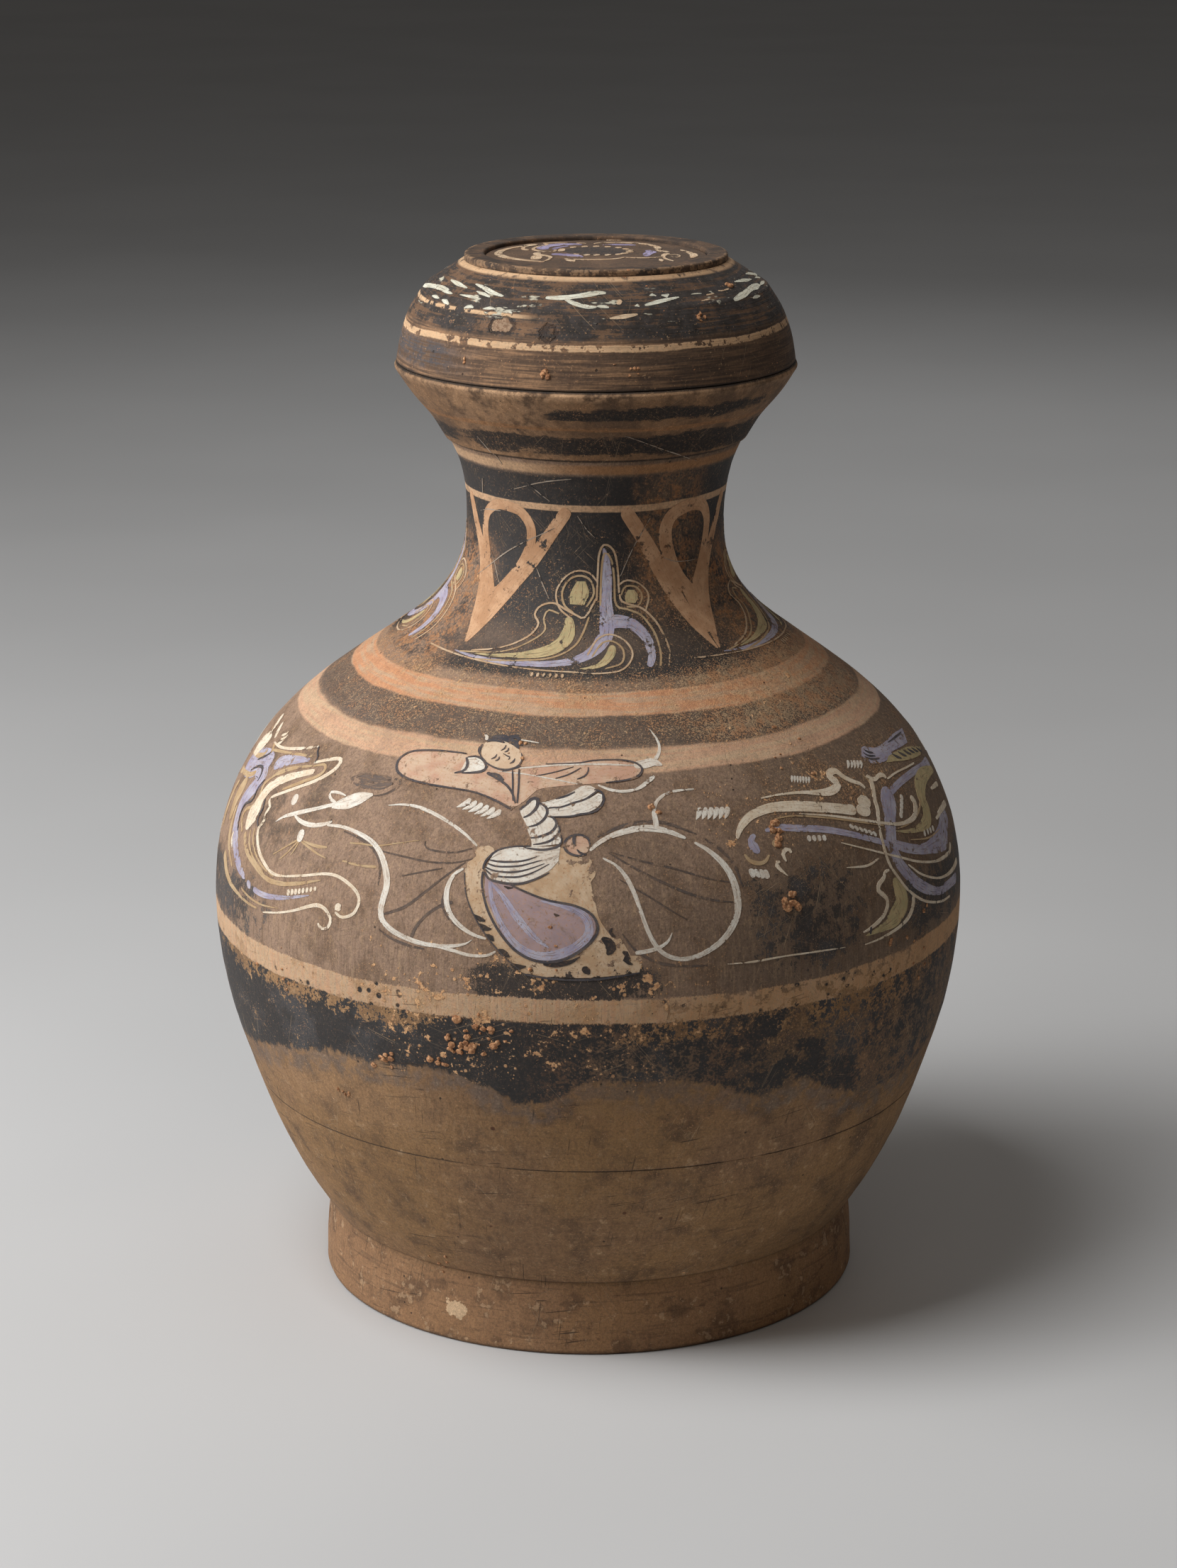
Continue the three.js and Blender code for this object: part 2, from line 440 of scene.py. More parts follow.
def turned(name, points, closed, turns):
    """A solid of revolution: the profile is extruded point by point, spun, and moved by the unevenness."""
    bpy.ops.object.select_all(action="DESELECT")
    bpy.ops.mesh.primitive_plane_add(size=MM)
    piece = bpy.context.object
    piece.name = name
    line = [Vector((0, -p[0], p[1])) for p in points]
    if closed:
        line.append(line[0])
    bpy.ops.object.mode_set(mode="EDIT")
    bpy.ops.mesh.select_all(action="SELECT")
    bpy.ops.mesh.merge(type="CENTER")
    bpy.ops.transform.translate(value=line[0])
    for here, there in zip(line, line[1:]):
        bpy.ops.mesh.extrude_region_move(TRANSFORM_OT_translate={"value": there - here})
    bpy.ops.mesh.select_all(action="SELECT")
    bpy.ops.mesh.spin(steps=turns, angle=2 * math.pi, center=(0, 0, 0), axis=(0, 0, 1))
    bpy.ops.mesh.select_all(action="SELECT")
    bpy.ops.mesh.remove_doubles(threshold=SEAM)
    bpy.ops.mesh.normals_make_consistent(inside=False)
    bpy.ops.object.mode_set(mode="OBJECT")
    for vertex in piece.data.vertices:
        x, y, z = vertex.co
        radius = math.hypot(x, y)
        angle = math.atan2(x, -y)
        if radius > SAME_PLACE:
            radius += wobble(angle, z) * min(1, radius / EVEN_NEAR_AXIS)
        vertex.co = (lean(z) + radius * math.sin(angle), -radius * math.cos(angle), z)
    bpy.ops.object.shade_smooth()
    return piece


# %% [markdown]
# ## The six members
#
# The real foot's edge is nibbled where it has stood on stone for centuries, which the turned foot leaves
# out. The joint on the lower belly is a hairline, so its corners are hardly rounded, while the ledge under
# the collar and the rim of the lid are worn soft.

# %% Members
JOINT_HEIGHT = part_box("upper_body")[0][2]
# The distance between the points of the finer profile in millimetres, and the steps once round.
FINENESS = {
    "foot_ring": (2.5, 288), "lower_body": (3.4, 324), "upper_body": (3.6, 360),
    "mouth_collar": (2.4, 252), "lid": (3.2, 252), "lid_ring": (1.6, 216),
}
BODY_OF = {node: body for body, nodes in frame["record"]["behaviour"]["bodies"].items() for node in nodes}


HAIRLINE_ROUNDING = 0.25 * MM
WORN_ROUNDING = 0.6 * MM


def corner_radius(point):
    at_hairline = abs(point[1] - JOINT_HEIGHT) < 0.1 * MM
    return HAIRLINE_ROUNDING if at_hairline else WORN_ROUNDING


members = {}
outlines = {}
for node, (spacing, turns) in FINENESS.items():
    points, closed = profile(node)
    outlines[node] = fine_profile(points, closed, spacing * MM, corner_radius)
    piece = turned("turned_" + node, outlines[node], closed, turns)
    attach(piece, BODY_OF[node])
    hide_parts(node)
    members[node] = piece
    print(node, len(points), "points, finer", len(outlines[node]), "triangles", 2 * len(piece.data.polygons))

# %% [markdown]
# ## Where a shader is on the wall
#
# The bands follow the height, and patches of soot and soil lie at a height and an angle. Both come from
# Object coordinates, so the same pattern runs on over every member and over the films of paint. The angle
# is 0 at the front and grows to the right.

# %% Place on the wall
def wall_place(start):
    """The place in millimetres, its height, and its angle round the leaning axis in degrees."""
    place = start.place()
    east = start.node("SeparateXYZ", None, {0: place})
    north, height = east.other(1), east.other(2)
    leaning = height.smooth(LEAN_START / MM, LEAN_END / MM) * (LEAN / MM)
    angle = start.node("Math", {"operation": "ARCTAN2"}, {0: east - leaning, 1: north * -1}) * math.degrees(1)
    return place, height, angle


GROUND_SOCKETS = (("Color", "Color"), ("Roughness", "Float"), ("Relief", "Float"))


def shared(name, build):
    """The same result from a node group, which is made once and used by every paint on that ground."""
    group = bpy.data.node_groups.new(name, "ShaderNodeTree")
    results = build(Flow(group))
    outlet = group.nodes.new("NodeGroupOutput")
    for (socket, kind), value in zip(GROUND_SOCKETS, results):
        group.interface.new_socket(socket, in_out="OUTPUT", socket_type="NodeSocket" + kind)
        group.links.new(value.socket, outlet.inputs[socket])

    def use(start):
        first = start.node("Group", {"node_tree": group})
        return first, first.other(1), first.other(2)
    return use


def material(name, build):
    """A material whose colour, roughness and relief in millimetres come from build(start)."""
    made = bpy.data.materials.new(name)
    made.use_nodes = True
    shader = made.node_tree.nodes["Principled BSDF"]
    tint, rough, relief = build(Flow(made.node_tree))
    bump = relief.node("Bump", None, {"Strength": 1.0, "Distance": MM, "Height": relief})
    for socket, value in (("Base Color", tint), ("Roughness", rough), ("Normal", bump)):
        made.node_tree.links.new(value.socket, shader.inputs[socket])
    return made


# %% [markdown]
# ## The clay and the slip of the jar
#
# Most of the ground is built as the potter and time built it. First comes the scraped brown clay with its
# mottle and upright streaks, then the brushed black slip with ragged edges, then the cream and pink bands,
# and over it all the tan soil, which sits thickest on the shoulder. Each layer is a mask and a colour, and
# each adds its thickness to the relief. Some masks are painted light and shade instead: a highlight low on
# the left of the belly and on the collar's rim, shade towards the right of the frieze and the bands, and
# shadow on the collar's top and under its ledge.

# %% Ground of the jar
CLAY = colour(136, 106, 78)
CLAY_OCHRE = colour(148, 115, 78)
CLAY_DARK = colour(98, 76, 57)
FRIEZE = colour(148, 124, 107)
# The darker frieze colour serves both for the ground's darker tone and for painted shade on the right
FRIEZE_DARK_AND_SHADED = colour(112, 94, 80)
FLECK = colour(178, 150, 118)
SOIL = colour(196, 146, 104)
SLIP = colour(45, 42, 42)
SLIP_BLUE = colour(82, 83, 88)
CREAM = colour(200, 173, 145)
PINK = colour(200, 154, 126)
# The upper edge of the black slip low on the belly, by angle, from 0 at 112 mm to 1 at 162 mm
EDGE_LOW, EDGE_RISE = 112, 50
EDGE_OF_SLIP = (
    (-180, 0.55), (-140, 0.4), (-100, 0.3), (-75, 0.24), (-60, 0.42), (-50, 0.58), (-40, 0.68),
    (-20, 0.74), (-15, 0.62), (-11, 0.44), (-7, 0.48), (0, 0.72), (12, 0.7), (20, 0.58), (26, 0.42),
    (34, 0.52), (40, 0.3), (50, 0.14), (62, 0.14), (75, 0.34), (110, 0.5), (150, 0.36), (180, 0.55),
)
# The heights in millimetres between which each band, line and joint lies. Under the collar's ledge
# the dark line is a crack with a painted shadow.
LOW_BAND = (174.4, 185.1)
MID_BAND = (273.2, 281.4)
HIGH_BAND = (292.3, 300.2)
NECK_LINE = (371.8, 374.8)
TAN_LINE = (389.4, 393.6)
COLLAR_LINE = (410.8, 412.8)
BELLY_HAIRLINE = (100.75, 101.35)
FOOT_JOINT = (34.0, 35.2)
LEDGE_CRACK_AND_SHADOW = (395.2, 396.4)
# The last touch on the colour of both grounds: a little more red and less blue
WARMTH = (1.05, 1.0, 0.93)


def jar_ground(start):
    place, height, angle = wall_place(start)
    unrolled = start.node("CombineXYZ", None, {0: angle * 2.8, 1: height})
    broad = place.grain(75, 3)
    mottle = place.grain(17, 4, 0.62)
    spots = place.grain(5.5, 4, 0.62, 31)
    grit = place.grain(1.3, 3, 0.65, 7)
    fine = place.grain(0.6, 2, 0.6, 71)
    upright = place.times(1, 1, 0.06).grain(2.2, 3, 0.6)
    hairs = place.times(1, 1, 0.05).grain(0.8, 3, 0.6, 33)
    level = place.times(0.04, 0.04, 1).grain(1.6, 3, 0.6, 11)
    crumbs = place.dots(2.6, 0.42, 0.55, 61).larger(place.dots(5.2, 0.8, 0.35, 63))
    ragged = (mottle - 0.5) * 22 + (spots - 0.5) * 14 + (grit - 0.5) * 4
    wavy = (broad - 0.5) * 7 + (mottle - 0.5) * 1.6 + (spots - 0.5) * 1.2

    # Scraped clay below, the smoother and greyer ground of the frieze above
    clay = mix(broad.smooth(0.38, 0.62), CLAY, CLAY_OCHRE)
    clay = mix(mottle.smooth(0.5, 0.68) * 0.65, clay, CLAY_DARK)
    clay = mix(level.smooth(0.54, 0.66) * 0.25, clay, CLAY_DARK)
    # Darker towards the right: partly painted shade, partly the broad tone of the ground
    frieze = mix(((angle - 8) * 0.02 + (broad - 0.5) * 2).smooth(-0.5, 0.6), FRIEZE, FRIEZE_DARK_AND_SHADED)
    frieze = mix(mottle.smooth(0.46, 0.66) * 0.5, frieze, CLAY_DARK)
    smudge = (angle + ragged * 1.5).between(-74, -42, 9) * (height + ragged).between(226, 268, 8)
    frieze = mix(smudge * (mottle * 0.6 + spots * 0.5).smooth(0.5, 0.66) * 0.7, frieze, colour(78, 68, 62))
    upper = height.smooth(178, 186)
    tint = mix(upper, clay, frieze)
    tint = mix(upright.smooth(0.52, 0.7) * 0.22, tint, FLECK)
    tint = mix(upright.smooth(0.46, 0.34) * 0.3, tint, CLAY_DARK)
    tint = mix(hairs.smooth(0.54, 0.7) * 0.35 * upper, tint, FLECK)
    tint = mix(hairs.smooth(0.46, 0.32) * 0.45 * upper, tint, CLAY_DARK)
    tint = mix(spots.smooth(0.6, 0.7) * (1 - upper) * 0.6, tint, FLECK)
    tint = mix(place.dots(15, 1.1, 0.35) * (1 - upper), tint, colour(92, 58, 38))

    # Painted highlight: a lighter, patchy area low on the left of the belly, where the lamps at the left fall
    lit = angle.between(-62, -24, 10) * height.between(112, 172, 12) * (mottle + broad).smooth(0.8, 1.1)
    tint = mix(lit * 0.45, tint, colour(182, 146, 112))

    stain = (broad * 0.5 + mottle * 0.5 + upright * 0.2 + spots * 0.2).smooth(0.68, 0.84) * (1 - upper)
    tint = mix(stain * 0.32, tint, colour(72, 54, 38))

    # Black slip, from the lowest zone to the mouth
    edge = angle.curve(-180, 180, EDGE_OF_SLIP) * EDGE_RISE + EDGE_LOW
    torn = ragged + (upright - 0.5) * 14 + (hairs - 0.5) * 6
    above_edge = height - edge + torn * 0.5
    low_zone = above_edge.smooth(-1.2, 1.2) * height.smooth(176, 174)
    bare = (angle + ragged).between(2, 22, 6) * (height + ragged * 0.3).between(163, 176, 4) * 0.55
    bare = bare.larger(angle.between(-74, -20, 12) * height.between(166, 180, 5) * 0.68)
    bare = bare.larger(angle.between(22, 62, 14) * height.between(160, 180, 7) * 0.55)
    crumbled = (mottle - 0.5) * 1.6 + (spots - 0.5) * 2.2 + (grit - 0.5) * 1.6 + (fine - 0.5) * 0.8
    low_zone = low_zone * (bare + crumbled).smooth(0.6, 0.52)
    worn_right = angle.between(22, 150, 12) * (mottle * 0.8 + spots * 0.3 + grit * 0.3).smooth(0.66, 0.76)
    low_zone = low_zone * (1 - worn_right * 0.55)
    soot = angle.between(-17, 9, 6) * height.between(185, 200, 3)
    soot = soot.larger(angle.between(24, 44, 12) * height.between(186, 234, 16) * 0.78)
    soot = soot.larger(angle.between(-112, -56, 14) * height.between(183, 211, 9) * 0.84)
    soot = soot.larger(angle.between(48, 100, 14) * height.between(186, 216, 10) * 0.75)
    soot = soot + crumbled * 0.7 + (hairs - 0.5) * 0.8
    soot = soot.smooth(0.54, 0.66) * height.smooth(181, 185) * 0.92
    back = (angle * angle).smooth(100 * 100, 110 * 110)
    soot = soot.larger(back * (height + torn * 1.6 + (broad - 0.5) * 90).between(184, 208, 4))
    shoulder = (height + wavy * 0.6).between(282, 292.5, 1.2) * 0.62
    neck = (height + wavy * 0.4).between(304, 388.8, 1.5)
    black = low_zone.larger(soot).larger(shoulder).larger(neck)
    rub = (height - 306) * 0.012 + (mottle - 0.5) * 2.2 + (grit - 0.5) * 1.2
    earthy = (angle * angle).between(50 * 50, 88 * 88, 900) * height.between(298, 352, 10)
    earthy = earthy.larger((angle + ragged).between(20, 50, 9) * height.between(326, 388, 8) * 0.8)
    black = black * (1 - earthy * (mottle + grit * 0.5).smooth(0.56, 0.76) * 0.9)
    black = black * (1 - rub.smooth(0.5, 0.0) * height.smooth(304, 322) * height.smooth(330, 312) * 0.5)
    slip = mix((mottle + broad).smooth(1.0, 1.25) * 0.5 * height.smooth(300, 280), SLIP, SLIP_BLUE)
    slip = mix(grit.smooth(0.5, 0.75) * 0.35, slip, CLAY_DARK)
    halo = above_edge.between(-10, 1, 3) * (1 - low_zone) * spots.smooth(0.35, 0.6)
    tint = mix(halo * 0.5 * (1 - upper), tint, SLIP_BLUE)
    tint = mix(black, tint, slip)
    dusted = angle.between(-4, 20, 8).larger(angle.between(46, 86, 12)) * height.between(126, 172, 10)
    rusty = earthy.larger(dusted * 0.85) * (spots * 0.6 + grit * 0.5).smooth(0.52, 0.62) * 0.7
    tint = mix(rusty, tint, mix(dusted, colour(158, 108, 66), colour(122, 98, 76)))

    # Cream and pink bands
    worn_band = (spots * 0.6 + mottle * 0.5).smooth(0.56, 0.66)
    rough_edge = height + wavy * 0.5 + (spots - 0.5) * 1.6 + (hairs - 0.5) * 2.4 + (grit - 0.5) * 0.8
    band_place = rough_edge.between(*LOW_BAND, 0.3)
    eaten = (angle + ragged).between(11, 60, 5) * (spots * 0.7 + grit * 0.3).smooth(0.5, 0.56)
    holes = place.dots(4.2, 1.25, 0.5, 3) * ((angle + ragged * 0.8).between(-36, -27, 3)).larger(eaten)
    holes = holes.larger(place.dots(23, 1.6, 0.55, 9)).larger((spots * 0.7 + grit * 0.4).smooth(0.69, 0.71))
    low_band = band_place * (1 - eaten * 0.85) * (1 - holes)
    pale = mix(upright.smooth(0.45, 0.65) * 0.5, CREAM, PINK)
    # Browner towards the right, partly as painted shade and partly in a random mottle
    pale = mix((angle * 0.014 + (mottle - 0.5) * 3).smooth(-0.6, 0.9) * 0.75, pale, colour(182, 142, 100))
    pale = mix((fine * 0.5 + grit * 0.6).smooth(0.5, 0.68) * 0.55, pale, colour(166, 124, 86))
    pale = mix(worn_band * 0.55, pale, colour(150, 118, 86))
    pale = mix((hairs * 0.7 + spots * 0.4).smooth(0.6, 0.7) * 0.5, pale, colour(130, 102, 80))
    tint = mix(low_band, tint, pale)
    tint = mix(holes * band_place, tint, SLIP)
    mid_band = (height + wavy * 0.6).between(*MID_BAND, 0.5)
    high_band = (height + wavy * 0.6).between(*HIGH_BAND, 0.4)
    line = (height + wavy * 0.25).between(*NECK_LINE, 0.25)
    tan_line = (height + wavy * 0.25).between(*TAN_LINE, 0.8)
    rubbed = mix(worn_band * 0.4, mix(level.smooth(0.4, 0.65), colour(200, 162, 136), CREAM), FRIEZE)
    tint = mix(mid_band * 0.92, tint, mix(grit.smooth(0.5, 0.7) * 0.35, rubbed, SOIL))
    blush = mix(level.smooth(0.4, 0.6), colour(206, 150, 114), colour(196, 166, 140))
    tint = mix(high_band * 0.95, tint,
               mix(worn_band * 0.4, mix(grit.smooth(0.5, 0.7) * 0.35, blush, SOIL), FLECK))
    tint = mix(line * (1 - worn_band * 0.35), tint, colour(200, 166, 134))
    # The tan line is lighter on the left and browner on the right: painted light and shade
    tan_lit_and_shaded = mix(angle.smooth(-34, 0), colour(196, 164, 132), colour(160, 118, 80))
    tint = mix(tan_line * 0.85 * (1 - worn_band * 0.4), tint, tan_lit_and_shaded)

    # Collar
    high = height + (level - 0.5) * 5
    collar = height.smooth(395.8, 396.6)
    tint = mix(collar, tint, mix(mottle.smooth(0.4, 0.6), colour(100, 78, 59), colour(134, 104, 76)))
    tint = mix(collar * angle.between(-50, -12, 9) * spots.smooth(0.35, 0.55) * 0.45,
               tint, colour(176, 142, 110))
    clouds = place.times(1, 1, 1.5).grain(21, 4, 0.62, 91) * 0.8 + level * 0.3 + (grit - 0.5) * 0.35
    clouds = clouds + angle.between(12, 130, 34) * 0.09 - angle.between(-130, -48, 20) * 0.06
    collar_black = height.between(397, 409, 4) * 0.5 + clouds
    upper_black = height.between(415, 423, 4) * (angle.between(-24, 62, 14)).larger(back) * 0.5 + clouds
    collar_black = collar_black.smooth(0.9, 1.0).larger(upper_black.smooth(0.9, 1.0)) * 0.97
    tint = mix(collar_black, tint, mix(grit.smooth(0.45, 0.7) * 0.4, colour(33, 31, 31), CLAY_DARK))
    tint = mix(high.between(*COLLAR_LINE, 0.6) * (1 - worn_band * 0.6) * 0.7, tint, colour(150, 108, 70))
    # Painted highlight along the top of the collar's rim, strongest at the front left and broken into patches
    rim = height.smooth(424.5, 427.5) * (spots * 0.5 + mottle * 0.5).smooth(0.42, 0.54)
    tint = mix(rim * (angle.between(-34, 6, 12) * 0.6 + 0.3), tint, colour(186, 152, 120))
    # Painted shadow: dark on the top of the collar, in the gap under the lid, and in the line under the ledge
    gap_shadow = height.smooth(428.9, 429.7).larger(height.between(*LEDGE_CRACK_AND_SHADOW, 0.5))
    tint = mix(gap_shadow * 0.9, tint, colour(26, 20, 17))

    # Soil: fine grains everywhere, dense on the shoulder, crumbs and a smear here and there
    sandy = height.between(281, 306, 5)
    dusty = sandy * (angle.smooth(14, 36) * 0.1 + 0.1) + (
        height.between(246, 272, 8) * angle.smooth(20, 40) * 0.08)
    dusty = dusty + (height.between(306, 345, 14)) * 0.05
    dust = (fine * 0.7 + grit * 0.3 + dusty + (mottle - 0.5) * 0.25).smooth(0.6, 0.68)
    smear = (spots + dusty * 0.5).smooth(0.7, 0.76) * (0.35 + dusty * 2).clip()
    soil = mix(spots.smooth(0.4, 0.6), SOIL, FLECK)
    tint = mix((dust * 0.6).larger(smear * 0.6), tint, soil)
    strewn = height.between(146, 206, 14) * angle.between(-34, 16, 10) + sandy * 0.5
    strewn = strewn + height.between(238, 276, 12) * angle.between(14, 62, 10) * 0.8
    islands = (strewn.clip() * 0.1 + spots * 0.6 + mottle * 0.3 + grit * 0.15).smooth(0.69, 0.71)
    strewn = ((strewn + (mottle - 0.5) * 2.2 + (spots - 0.5) * 1.4).smooth(0.45, 0.75)
              * crumbs).larger(islands)
    tint = mix(strewn * 0.9, tint, mix(grit.smooth(0.4, 0.6), SOIL, colour(214, 172, 130)))

    # Foot: paler salts, a redder clay and dark stains
    foot = height.smooth(36, 30)
    tint = mix(foot * 0.5, tint, colour(158, 120, 88))
    tint = mix(foot * (mottle * 0.8 + spots * 0.3).smooth(0.56, 0.64) * 0.45, tint, colour(84, 62, 45))
    tint = mix(foot * (level * 0.7 + spots * 0.4).smooth(0.6, 0.66) * 0.35, tint, colour(70, 54, 42))
    tint = mix(foot * (spots * 0.7 + mottle * 0.4).smooth(0.62, 0.66) * 0.5, tint, colour(190, 160, 128))
    chip = (angle + 29) * (angle + 29) * 0.16 + (height - 16) * (height - 16) * 0.07 + (spots - 0.5) * 5
    tint = mix(foot * chip.smooth(1.3, 1.0), tint, colour(206, 178, 146))
    tint = mix(height.between(*FOOT_JOINT, 0.5) * 0.6, tint, CLAY_DARK)
    # Darker towards the very bottom of the foot, over its lowest 2.6 mm
    tint = mix(height.smooth(2.6, 0.8) * 0.5, tint, colour(70, 52, 40))

    # Scratches, the hairline of the belly joint and pits
    scratch = unrolled.streaks(24, 0.55, 60, 2).larger(unrolled.streaks(-38, 0.55, 70, 5))
    scratch = scratch.larger(unrolled.streaks(68, 0.5, 46, 8)).larger(unrolled.streaks(-72, 0.5, 50, 14))
    tint = mix(scratch * 0.5, tint, colour(176, 152, 124))
    gouge = unrolled.streaks(8, 0.7, 24, 21).larger(unrolled.streaks(84, 0.7, 30, 27)) * (1 - upper)
    hairline = (height + (spots - 0.5) * 0.5).between(*BELLY_HAIRLINE, 0.2) \
        * (mottle + broad).smooth(0.82, 0.98)
    dark_marks = gouge.larger(hairline)
    tint = mix(dark_marks * 0.75, tint, colour(52, 40, 31))
    pits = place.dots(9, 0.5, 0.5, 13)
    tint = mix(pits * 0.8, tint, colour(40, 32, 27))
    tint = tint * (grit * 1.1 + fine * 0.9 + spots * 0.6 - 0.34)
    tint = tint.times(*WARMTH)
    rough = black * -0.14 + 0.86 + (grit - 0.5) * 0.16
    relief = grit * 0.14 + fine * 0.1 + spots * 0.24 + upright * 0.08 * (1 - collar) \
        + level * 0.1 + dust * 0.1
    relief = relief + hairs * 0.06 + strewn * 0.3 + smear * 0.18 \
        + (low_band + mid_band + high_band + line) * 0.1
    relief = relief - pits * 0.45 - holes * band_place * 0.2 - scratch * 0.12 - dark_marks * 0.3
    return tint, rough, relief


jar_ground = shared("ground_of_the_jar", jar_ground)
JAR_GROUND = material("jar_clay_and_slip", jar_ground)
for node in ("foot_ring", "lower_body", "upper_body", "mouth_collar"):
    members[node].data.materials.clear()
    members[node].data.materials.append(JAR_GROUND)

# %% [markdown]
# ## The ground of the lid
#
# The lid was brushed on the wheel, so its colour lies in level streaks: brown below, a cream band, nearly
# black to the ring, and brown again inside it. Painted shade darkens its right side, and a painted shadow
# runs along its lower edge where it sits in the collar.

# %% Ground of the lid
# The heights of its band and its thin line, and the radii of the seat of the ring, in millimetres
LID_BAND = (446.8, 449.6)
LID_LINE = (459.4, 460.9)
RING_SEAT = (58.4, 61.8)


def lid_ground(start):
    place, height, angle = wall_place(start)
    unrolled = start.node("CombineXYZ", None, {0: angle * 1.5, 1: height})
    broad = place.grain(60, 3, 0.5, 5)
    mottle = place.grain(15, 4, 0.62, 17)
    spots = place.grain(4.5, 4, 0.62, 23)
    grit = place.grain(1.2, 3, 0.65, 29)
    level = place.times(0.035, 0.035, 1).grain(1.1, 3, 0.6, 41)
    east = place.node("SeparateXYZ", None, {0: place})
    across, deep = east - LEAN / MM, east.other(1)
    radius = (across * across + deep * deep) ** 0.5
    ragged = (mottle - 0.5) * 12 + (spots - 0.5) * 8
    wavy = (broad - 0.5) * 2.5 + (spots - 0.5) * 1.2

    tint = mix(level.smooth(0.4, 0.62), colour(92, 71, 55), colour(140, 109, 82))
    tint = mix(mottle.smooth(0.5, 0.68) * 0.7, tint, colour(84, 64, 50))
    # Painted shade: the right side of the lid is darkened, away from the lamps at the left
    shady = (angle + ragged).smooth(-6, 30) * (1 - (angle + ragged).smooth(110, 150))
    tint = mix(shady * 0.62, tint, colour(50, 37, 28))
    blue = (angle + ragged * 2).between(-100, -42, 10) * (height + ragged * 0.3).between(434, 446, 2)
    tint = mix(blue * (level * 0.7 + spots * 0.5).smooth(0.5, 0.66) * 0.9, tint, colour(66, 66, 72))
    dark = (height + ragged * 0.25).smooth(450, 453) * radius.smooth(58, 60)
    sooty = (mottle * 0.7 + level * 0.6 + (grit - 0.5) * 0.3).smooth(0.56, 0.66)
    brushed = (mottle * 0.5 + level * 0.6 + (grit - 0.5) * 0.3).smooth(0.44, 0.54)
    sooty = sooty.larger((height + ragged * 0.4).between(457, 472, 2) * brushed)
    sooty = sooty.larger((angle + ragged).between(36, 130, 12)
                         * (mottle * 0.5 + level * 0.6).smooth(0.4, 0.56))
    tint = mix(dark * sooty * 0.96, tint, mix(spots.smooth(0.4, 0.6), colour(40, 36, 34), colour(54, 50, 50)))
    tint = mix(dark * (1 - sooty) * 0.5, tint, colour(122, 92, 68))

    brush = place.times(0.16, 0.16, 0.8).grain(2.4, 3, 0.6, 43)
    fleck = brush.smooth(0.62, 0.66) * height.between(457, 470, 2) \
        * (mottle * 0.6 + spots * 0.6).smooth(0.54, 0.62)
    tint = mix(fleck * 0.85, tint, colour(198, 196, 180))
    band = (height + wavy).between(*LID_BAND, 0.25) * (1 - (spots * 0.7 + mottle * 0.4).smooth(0.585, 0.62))
    thin = (height + wavy * 0.7).between(*LID_LINE, 0.3) * (angle + ragged).between(-120, -24, 6)
    thin = thin * (1 - (spots * 0.7 + mottle * 0.4).smooth(0.54, 0.58))
    seat = (radius + wavy * 0.4).between(*RING_SEAT, 0.5) \
        * height.smooth(472.6, 474) * height.smooth(475.6, 475.2)
    seat = seat * (1 - (spots * 0.6 + mottle * 0.5).smooth(0.56, 0.66) * 0.8)
    lines = band.larger(thin).larger(seat * 0.95)
    rubbed = mix(grit.smooth(0.45, 0.65) * 0.5, colour(208, 176, 142), colour(178, 140, 106))
    # The band also takes the painted shade on the right
    tint = mix(lines, tint, mix(shady * 0.3, rubbed, colour(132, 98, 68)))

    inside = radius.smooth(50, 49) * height.smooth(470, 472)
    tint = mix(inside * 0.75, tint, mix(spots.smooth(0.4, 0.6), colour(98, 78, 62), colour(76, 62, 53)))
    ring = radius.between(49.2, 59, 0.4) * height.smooth(474.6, 475.4)
    tint = mix(ring * 0.9, tint, mix(mottle.smooth(0.42, 0.56), colour(58, 48, 42), colour(92, 72, 56)))
    worn_edge = ring * radius.smooth(56.6, 58) * (spots + grit * 0.4).smooth(0.66, 0.76)
    tint = mix(worn_edge * 0.45, tint, colour(176, 144, 112))

    # Two spalls on the front left, where the surface has burst off, and a smear of soil under them
    rent = (spots - 0.5) * 4.5 + (mottle - 0.5) * 4 + (grit - 0.5) * 1.2
    near = (angle + 30) * (angle + 30) * 0.1 + (height - 456) * (height - 456) * 0.16 + rent
    other = (angle + 14) * (angle + 14) * 0.16 + (height - 454) * (height - 454) * 0.12 + rent
    burst = near.smooth(1.3, 0.9)
    crack = near.between(1.1, 2.1, 0.3).larger(other.between(0.7, 1.7, 0.3))
    tint = mix(crack * 0.7, tint, colour(46, 34, 27))
    tint = mix(burst, tint, mix(grit.smooth(0.4, 0.6), colour(168, 142, 118), colour(116, 90, 70)))

    dust = (grit + (mottle - 0.5) * 0.35).smooth(0.64, 0.72)
    tint = mix(dust * 0.5, tint, mix(spots.smooth(0.4, 0.6), FLECK, SOIL))
    smear = (spots * 0.8 + grit * 0.3).smooth(0.72, 0.75) * 0.8
    tint = mix(smear, tint, colour(186, 128, 88))
    scratch = unrolled.streaks(30, 0.5, 50, 2).larger(unrolled.streaks(-50, 0.5, 40, 5))
    tint = mix(scratch * 0.4, tint, colour(170, 148, 122))
    pits = place.dots(7, 0.6, 0.4, 19)
    tint = mix(pits * 0.8, tint, colour(38, 30, 26))
    under = height.smooth(430.2, 429.6)
    tint = mix(under, tint, mix(mottle.smooth(0.4, 0.6), CLAY, CLAY_DARK))
